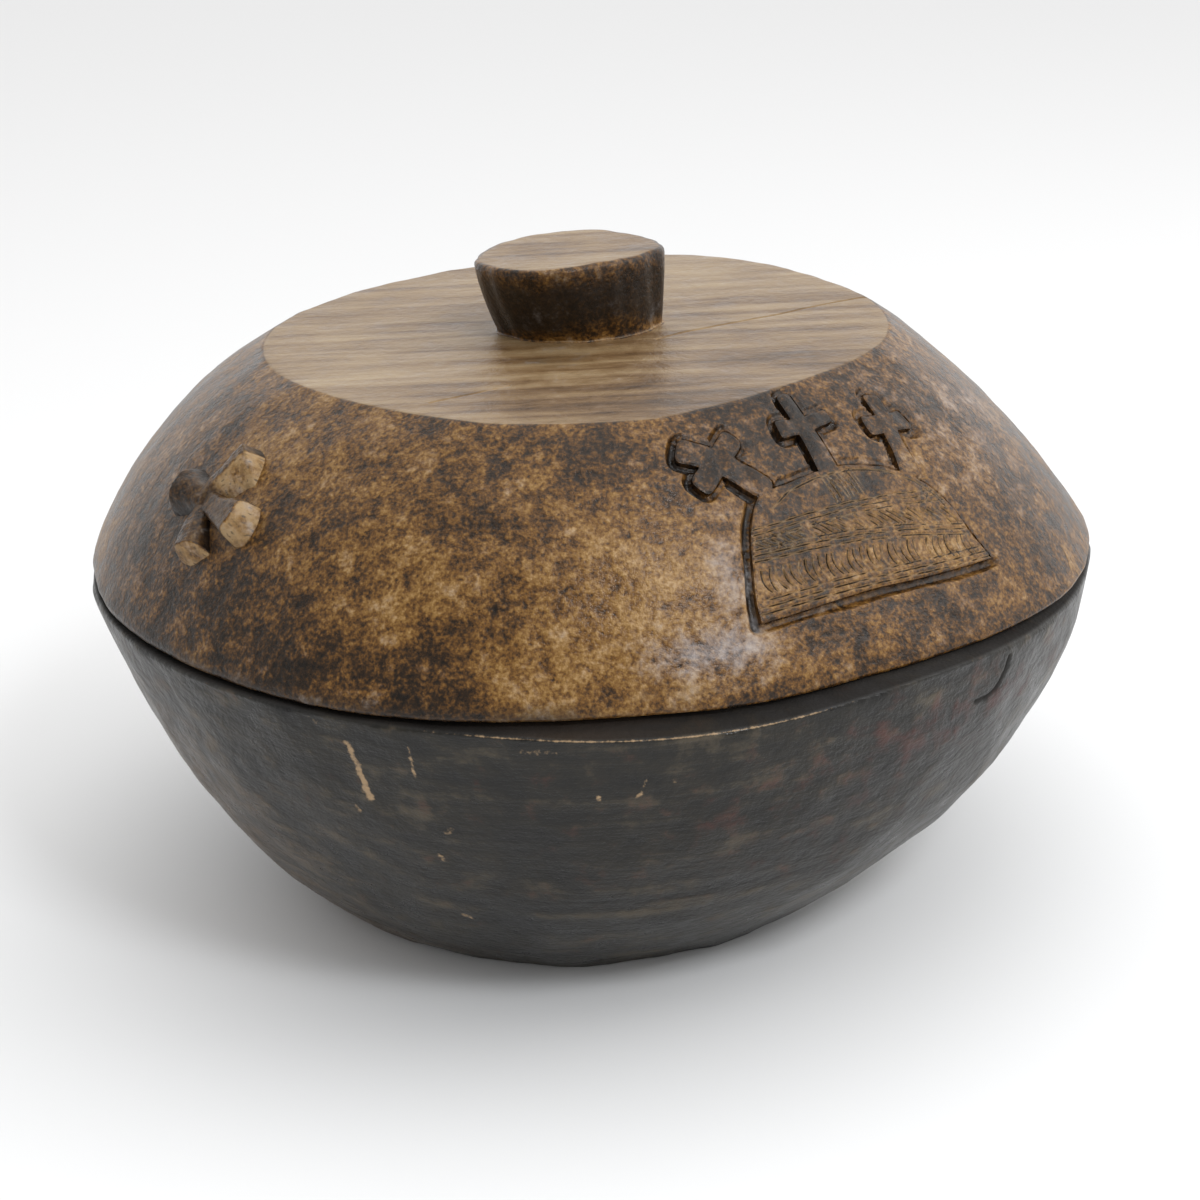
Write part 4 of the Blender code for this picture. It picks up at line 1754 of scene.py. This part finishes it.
@dataclass
class Boss:
    """The four-lobed boss on the lid's left, worn pale where its ends are handled; painted light on
    its lit faces, painted shade between its lobes.
    """

    lid: Lid
    name: str = "four_lobed_boss"
    azimuth: float = math.radians(-54.5)
    rise: float = 56.0
    reference: float = 165.0
    reach: float = 34.0
    grain: float = 0.42
    root: float = 3.0
    lobes: tuple = (
        Lobe(60, 27.5, 10.0, 9.0, 14.0, 4.0, 8.0, 1.7, 66, 1.0),
        Lobe(-8, 33.0, 8.0, 9.5, 9.0, 2.5, 11.0, 6.0, 60),
        Lobe(-64, 26.5, 7.0, 8.0, 7.5, 2.5, 9.5, 4.0, 54),
        Lobe(184, 20.0, 12.0, 12.0, 12.0, 4.0, 10.0, 2.8, 52),
    )

    def heights(self, across: np.ndarray, up: np.ndarray) -> tuple:
        """The boss over drawn places.

        Args:
            across: Places to the right of its middle.
            up: Places up from its middle.

        Returns:
            The height, and how pale the wood is: worn bare on the end facets, with painted light there
                and on the light sides.
        """
        height, bare = np.full_like(across, -9.0), np.zeros_like(across)
        sway = 0.5 * np.sin(across * 0.31 + 0.6) * np.sin(up * 0.37)
        for lobe in self.lobes:
            body, light = lobe.height(across + sway, up - sway)
            bare = np.where(body > height, light, bare)
            height = np.maximum(height, body)
        height += 0.16 * np.sin(across * 1.1 + 0.3 * up) * np.sin(up * 0.9 + 1.0)
        height += 0.06 * np.sin(across * 2.7) * np.sin(up * 3.1 + 0.5)
        return height, bare

    def build(self, wood: bpy.types.Material) -> bpy.types.Object:
        """Makes the finished boss.

        Args:
            wood: The lid's finish.

        Returns:
            The boss.
        """
        count = int(2 * self.reach / self.grain) + 1
        line = np.arange(count) * self.grain - self.reach
        across, up = (grid.ravel() for grid in np.meshgrid(line, line))
        height, bare = self.heights(across, up)
        place, outward = self.lid.on_side(
            across * MM, up * MM, self.azimuth, self.rise, self.reference
        )
        place = place + outward * (np.clip(height, -self.root, None) * MM)[:, None]
        mesh, used = grid_mesh(self.name, place, count, height > 0.1 - self.root)
        mesh.update()
        facing = mesh.polygons[len(mesh.polygons) // 2].normal
        if facing.dot(Vector(outward[used][len(used) // 2])) < 0:
            mesh.flip_normals()
        across, up, height, bare = (row[used] for row in (across, up, height, bare))
        # Dark patina on the whole boss, deepened by painted shade in the low ground between the lobes,
        # and lifted on the pale facets.
        shade = (0.36 * (1 - ease(0.0, 4.5, height)) + 0.50) * (1 - 0.9 * bare)
        blotch = 0.5 + 0.5 * np.sin(across * 0.5 + 2 * np.sin(up * 0.37)) * np.sin(up * 0.6 + 0.7)
        speck = np.sin(across * 1.9 + 1.4 * np.sin(up * 1.3)) * np.sin(up * 1.7 + np.sin(across * 1.1))
        # The pale facets are wear and painted light, with a painted grey highlight on them.
        set_trait(mesh, Trait.SOOT, shade + 0.55 * bare * ease(0.55, 0.9, speck))
        set_trait(mesh, Trait.WORN, bare * (0.30 + 0.26 * blotch))
        set_trait(mesh, Trait.GLOW, 1.1 * bare)
        set_trait(mesh, Trait.BLOOM, bare * (0.40 - 0.45 * blotch))
        piece = in_scene(self.name, mesh)
        mesh.materials.append(wood)
        finish_piece(piece, Body.LID, 60.0)
        return piece


# ---------------------------------------------------------------- the bowl


class BowlPart(Enum):
    """The bowl's sections, from the hollow's middle up over the rim and down to the foot."""

    HOLLOW = 0
    SEAT = 1
    LEDGE = 2
    RIM = 3
    SIDE = 4
    FOOT = 5
    BASE = 6


@dataclass(frozen=True)
class Scuff:
    """A mark on the bowl's side: a line of (degrees, millimetres up), its half width and strength."""

    line: tuple
    width: float
    strength: float
    pace: float = 3.4

    def cover(self, degrees: np.ndarray, height: np.ndarray) -> np.ndarray:
        """How strongly the mark shows.

        Args:
            degrees: Azimuths of the places.
            height: Their heights in millimetres.

        Returns:
            The strength at each place.
        """
        path = [(turn * self.pace, up) for turn, up in self.line]
        away = from_path(degrees * self.pace, height, path)
        ragged = 1 + 0.22 * np.sin(height * 0.83) * np.sin(degrees * 3.1 + 1.0)
        return self.strength * (1 - ease(0.15, 1.15, away / (self.width * ragged)))


@dataclass
class Bowl(Shell):
    """The deep bowl: a flat seat for the lid, a sloping ledge, a bulging side, a flat foot."""

    name: str = "bowl_wood_block"
    columns: int = 360
    rows: tuple = (26, 3, 5, 4, 58, 4, 8)
    floor: float = 21 * MM
    mouth: float = 178 * MM
    seat: float = 140.2 * MM
    seat_edge: float = 189 * MM
    rim: float = CAD_HIGH.x - 0.2 * MM
    hollow_power: float = 2.8
    foot_radius: float = 114 * MM
    foot_height: float = 2.0 * MM
    base_radius: float = 108 * MM
    rim_height: Around = field(default_factory=lambda: Around((
        (-120, 140.0), (-90, 142.0), (-60, 140.6), (-35, 139.4), (-19, 138.3), (-9, 137.0),
        (0, 134.9), (9, 134.2), (18, 134.8), (26, 136.9), (34, 137.5), (43, 136.5), (53, 135.0),
        (67, 133.6), (90, 133.6), (130, 136.0), (180, 137.0),
    )))
    scuffs: tuple = (
        Scuff(((-25.6, 128.5), (-25.6, 123.3), (-25.5, 115.1), (-25.2, 105.8)), 2.0, 0.58),
        Scuff(((-25.4, 109.0), (-25.2, 105.6)), 2.8, 0.66),
        Scuff(((-18.8, 130.4), (-19.0, 124.0), (-19.2, 117.8)), 1.2, 0.46),
        Scuff(((-27.4, 100.4), (-27.0, 98.2)), 1.8, 0.44),
        Scuff(((-29.5, 138.0), (-28.6, 135.6)), 2.0, 0.40),
        Scuff(((-16.6, 95.2), (-17.2, 93.6)), 2.2, 0.46),
        Scuff(((-18.8, 81.0), (-18.7, 78.8)), 1.8, 0.38),
        Scuff(((-18.9, 44.6), (-17.9, 43.0)), 2.2, 0.44),
        Scuff(((3.4, 113.0), (3.0, 111.2)), 1.2, 0.52),
        Scuff(((4.0, 119.0), (3.3, 113.0)), 0.8, 0.42),
        Scuff(((-0.8, 112.0), (-0.8, 110.6)), 1.5, 0.52),
        Scuff(((-7.5, 131.5), (-4.5, 130.8)), 2.0, 0.36),
        Scuff(((6.5, 117.5), (6.8, 116.5)), 1.0, 0.45),
    )
    flake: tuple = ((47.2, 131.5), (46.7, 126.0), (45.5, 119.5), (44.2, 117.6), (42.6, 117.8))
    lean: tuple = (
        (0.0, -8.7), (8.2, -8.2), (21.8, -4.6), (43.6, -1.4), (68.0, 0.9), (92.6, 1.5),
        (115.8, 1.8), (136.2, 0.0), (150.0, 0.0),
    )

    red: tuple = ((0.42, (40, 116), (26, 16)), (0.2, (20, 85), (34, 34)))
    brown: tuple = ((0.78, (-66, 60), (34, 80)), (0.45, (-35, 5), (40, 14)))

    def surface(self, azimuth: np.ndarray, station: np.ndarray) -> np.ndarray:
        """Places on the bowl.

        Args:
            azimuth: Angles in radians.
            station: Section numbers plus shares.

        Returns:
            The places as rows.
        """
        rings = Rings(azimuth, station, len(self.rows))
        share, one = rings.share, rings.one
        crest = self.rim_height.at(azimuth) * MM
        lip = (self.rim - 1.3 * MM) * one, crest + 0.7 * MM
        high = (self.rim - 0.1 * MM) * one, crest - 1.4 * MM
        low = self.foot_radius * one, self.foot_height * one

        deep = self.seat - self.floor
        across, down = superarc(1 - share, self.mouth, deep, self.hollow_power)
        rings.put(BowlPart.HOLLOW, (across, self.seat - down))
        rings.put(BowlPart.SEAT, (mixed(self.mouth, self.seat_edge, share), self.seat))
        drop = mixed(self.seat * one, lip[1], share**1.25)
        rings.put(BowlPart.LEDGE, (mixed(self.seat_edge, lip[0], share), drop))
        rings.put(BowlPart.RIM, corner(lip, (self.rim * one, crest), high, share))
        turn = np.radians(41 + 5 * ease(0.2, 1.0, -np.sin(azimuth)))
        rings.put(BowlPart.SIDE, bulge(low, high, turn, 1 - share))
        sole = (self.foot_radius - 1.2 * MM, 0.0), (self.base_radius, 0.0)
        rings.put(BowlPart.FOOT, corner(low, *sole, share))
        rings.put(BowlPart.BASE, (self.base_radius * (1 - share), 0.0))
        shift = np.interp(rings.height / MM, *np.array(self.lean).T) * MM
        rings.x = shift * ease(3.0, 4.2, station)
        return rings.places()

    def paint(self, mesh: bpy.types.Mesh, azimuth: np.ndarray, station: np.ndarray) -> None:
        """Writes the point attributes that the finish reads, and sinks the flake's crack.

        Args:
            mesh: The bowl's mesh.
            azimuth: Each point's angle in radians.
            station: Each point's section number plus share.
        """
        degrees = np.degrees(azimuth)
        height = read_places(mesh)[:, 2] / MM
        on_side = ease(3.6, 4.1, station) * (1 - ease(5.2, 6.0, station))
        ledge = ease(1.9, 2.3, station) * (1 - ease(3.0, 3.6, station))
        set_trait(mesh, Trait.RED, spots(degrees, height, self.red) * on_side)
        brown = ledge * (0.25 + 0.5 * band(degrees, -3, 14))
        set_trait(mesh, Trait.GLOW, brown + spots(degrees, height, self.brown) * on_side)
        handled = 0.35 + ease(-22, -6, degrees) * (1 - ease(18, 30, degrees))
        worn = 0.44 * band(station, 3.45, 0.28) * handled
        for scuff in self.scuffs:
            worn = np.maximum(worn, scuff.cover(degrees, height) * on_side)
        set_trait(mesh, Trait.WORN, worn)
        crack = Scuff(self.flake, 1.3, 1.0).cover(degrees, height) * on_side
        write_places(mesh, read_places(mesh) - read_normals(mesh) * (crack * 0.7 * MM)[:, None])
        set_trait(mesh, Trait.INSIDE, 1 - ease(0.9, 1.4, station))
        set_trait(mesh, Trait.TOOLED, on_side + 0.8 * (1 - ease(0.85, 1.0, station)) + 0.15 * ledge)
        # The ledge under the lid's edge is painted dark as shade; the flake's crack is a real dark
        # cut.
        set_trait(mesh, Trait.CUT, np.maximum(0.85 * ledge, 0.9 * crack))

    def zones(self) -> list[Zone]:
        """Finer under the scuffs and the flake.

        Returns:
            The zones.
        """

        def near_mark(azimuth: np.ndarray, station: np.ndarray) -> np.ndarray:
            """Whether places lie on the side near a scuff or the flake.

            Args:
                azimuth: Angles in radians.
                station: Section numbers plus shares.

            Returns:
                True at each place that does.
            """
            height = self.surface(azimuth, station)[:, 2] / MM
            close = np.zeros(azimuth.shape, bool)
            for line in [scuff.line for scuff in self.scuffs] + [self.flake]:
                close |= Scuff(line, 4.0, 1.0).cover(np.degrees(azimuth), height) > 0
            return close & (station > BowlPart.SIDE.value) & (station < 4.98)

        return [Zone(near_mark, 4)]

    def build(self, tools: "Tools", wood: bpy.types.Material) -> bpy.types.Object:
        """Makes the finished bowl.

        Args:
            tools: The carving trees.
            wood: The bowl's finish.

        Returns:
            The bowl.
        """
        piece = self.net()
        azimuth, station = self.drawn_at(piece.data)
        self.paint(piece.data, azimuth, station)
        piece.data.materials.append(wood)
        tools.adze.apply(
            piece,
            {"Scoop Size": 0.034, "Scoop Depth": 0.0021, "Waver Size": 0.014,
             "Waver Depth": 0.0013, "Seed": 7.0, "Wood": wood},
        )
        finish_piece(piece, Body.BOWL, 65.0)
        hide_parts("bowl")
        return piece


# ---------------------------------------------------------------- the studio


@dataclass(frozen=True)
class SoftBox:
    """A square studio light aimed at the bowl."""

    name: str
    azimuth: float
    elevation: float
    distance: float
    size: float
    power: float
    colour: tuple = (1.0, 1.0, 1.0)

    def hang(self, target: Vector) -> None:
        """Puts the light up.

        Args:
            target: The place that it is aimed at.
        """
        data = bpy.data.lights.new(self.name, "AREA")
        data.size, data.energy, data.color = self.size, self.power, self.colour
        lamp = in_scene(self.name, data)
        turn, lift = math.radians(self.azimuth), math.radians(self.elevation)
        away = Vector(
            (math.sin(turn) * math.cos(lift), -math.cos(turn) * math.cos(lift), math.sin(lift))
        )
        lamp.location = target + away * self.distance
        lamp.rotation_euler = away.to_track_quat("Z", "Y").to_euler()


@dataclass
class Studio:
    """White paper floor, white surroundings, soft lights and the camera."""

    half: float = 6.0
    surround: Point2 = (0.50, 1.36)
    bright_side: tuple = (0.46, 0.87, 0.17)
    lens: float = 67.32
    sensor: float = 36.0
    aim: tuple = (0.0025, 0.0, 0.107)
    distance: float = 0.93
    elevation: float = 21.28
    roll: float = 2.62
    lights: tuple = (
        SoftBox("key", 31, 43, 1.7, 0.34, 9.0, (0.94, 0.97, 1.0)),
        SoftBox("side", 82, 38, 2.0, 1.0, 7.5),
        SoftBox("overhead", 10, 84, 2.2, 1.8, 8.0),
    )

    def build(self) -> None:
        """Sets the floor, the surroundings, the lights and the camera."""
        self.lay_floor()
        self.light_surroundings()
        for light in self.lights:
            light.hang((CAD_LOW + CAD_HIGH) / 2)
        self.set_camera()
        bpy.context.scene.view_settings.view_transform = "Standard"

    def lay_floor(self) -> None:
        """Lays the paper."""
        edge = self.half
        corners = [(-edge, -edge, 0), (edge, -edge, 0), (edge, edge, 0), (-edge, edge, 0)]
        mesh = bpy.data.meshes.new("studio_floor")
        mesh.from_pydata(corners, [], [(0, 1, 2, 3)])
        mesh.materials.append(FloorPaper().make())
        in_scene("studio_floor", mesh)

    def light_surroundings(self) -> None:
        """Makes the surroundings white, and brighter towards one side."""
        world = bpy.data.worlds.new("studio")
        world.use_nodes = True
        graph = Graph(world.node_tree)
        sky = world.node_tree.nodes["Background"].inputs
        sky["Color"].default_value = (1.0, 1.0, 1.0, 1.0)
        towards = graph.node("ShaderNodeTexCoord").outputs["Generated"]
        facing = graph.vector_math("DOT_PRODUCT", towards, self.bright_side).outputs["Value"]
        level = graph.between(facing, -1.0, 1.0, self.surround)
        world.node_tree.links.new(level, sky["Strength"])
        bpy.context.scene.world = world

    def set_camera(self) -> None:
        """Sets the camera in front of the bowl, looking down and tilted a little."""
        data = bpy.data.cameras.new("camera")
        data.lens, data.sensor_width = self.lens, self.sensor
        data.clip_start, data.clip_end = 0.05, 50.0
        camera = in_scene("camera", data)
        tip = Matrix.Rotation(math.radians(90.0 - self.elevation), 4, "X")
        roll = Matrix.Rotation(math.radians(-self.roll), 4, "Z")
        back = tip @ Vector((0.0, 0.0, self.distance))
        camera.matrix_world = Matrix.Translation(Vector(self.aim) + back) @ tip @ roll
        bpy.context.scene.camera = camera


@dataclass
class Tools:
    """The carving trees that the pieces share."""

    adze: AdzeMarks = field(default_factory=AdzeMarks)
    chisel: ChiselCuts = field(default_factory=ChiselCuts)


def main() -> None:
    """Builds the pieces in order, then the studio."""
    logging.basicConfig(level=logging.INFO, format="%(name)s: %(message)s")
    tools = Tools()
    bowl_wood, lid_wood = BowlWood().make(), LidWood().make()
    Bowl().build(tools, bowl_wood)
    lid = Lid()
    lid.build(tools, lid_wood)
    CrownRelief(lid).build(tools, lid_wood)
    Boss(lid).build(lid_wood)
    Studio().build()


if __name__ == "__main__":
    main()
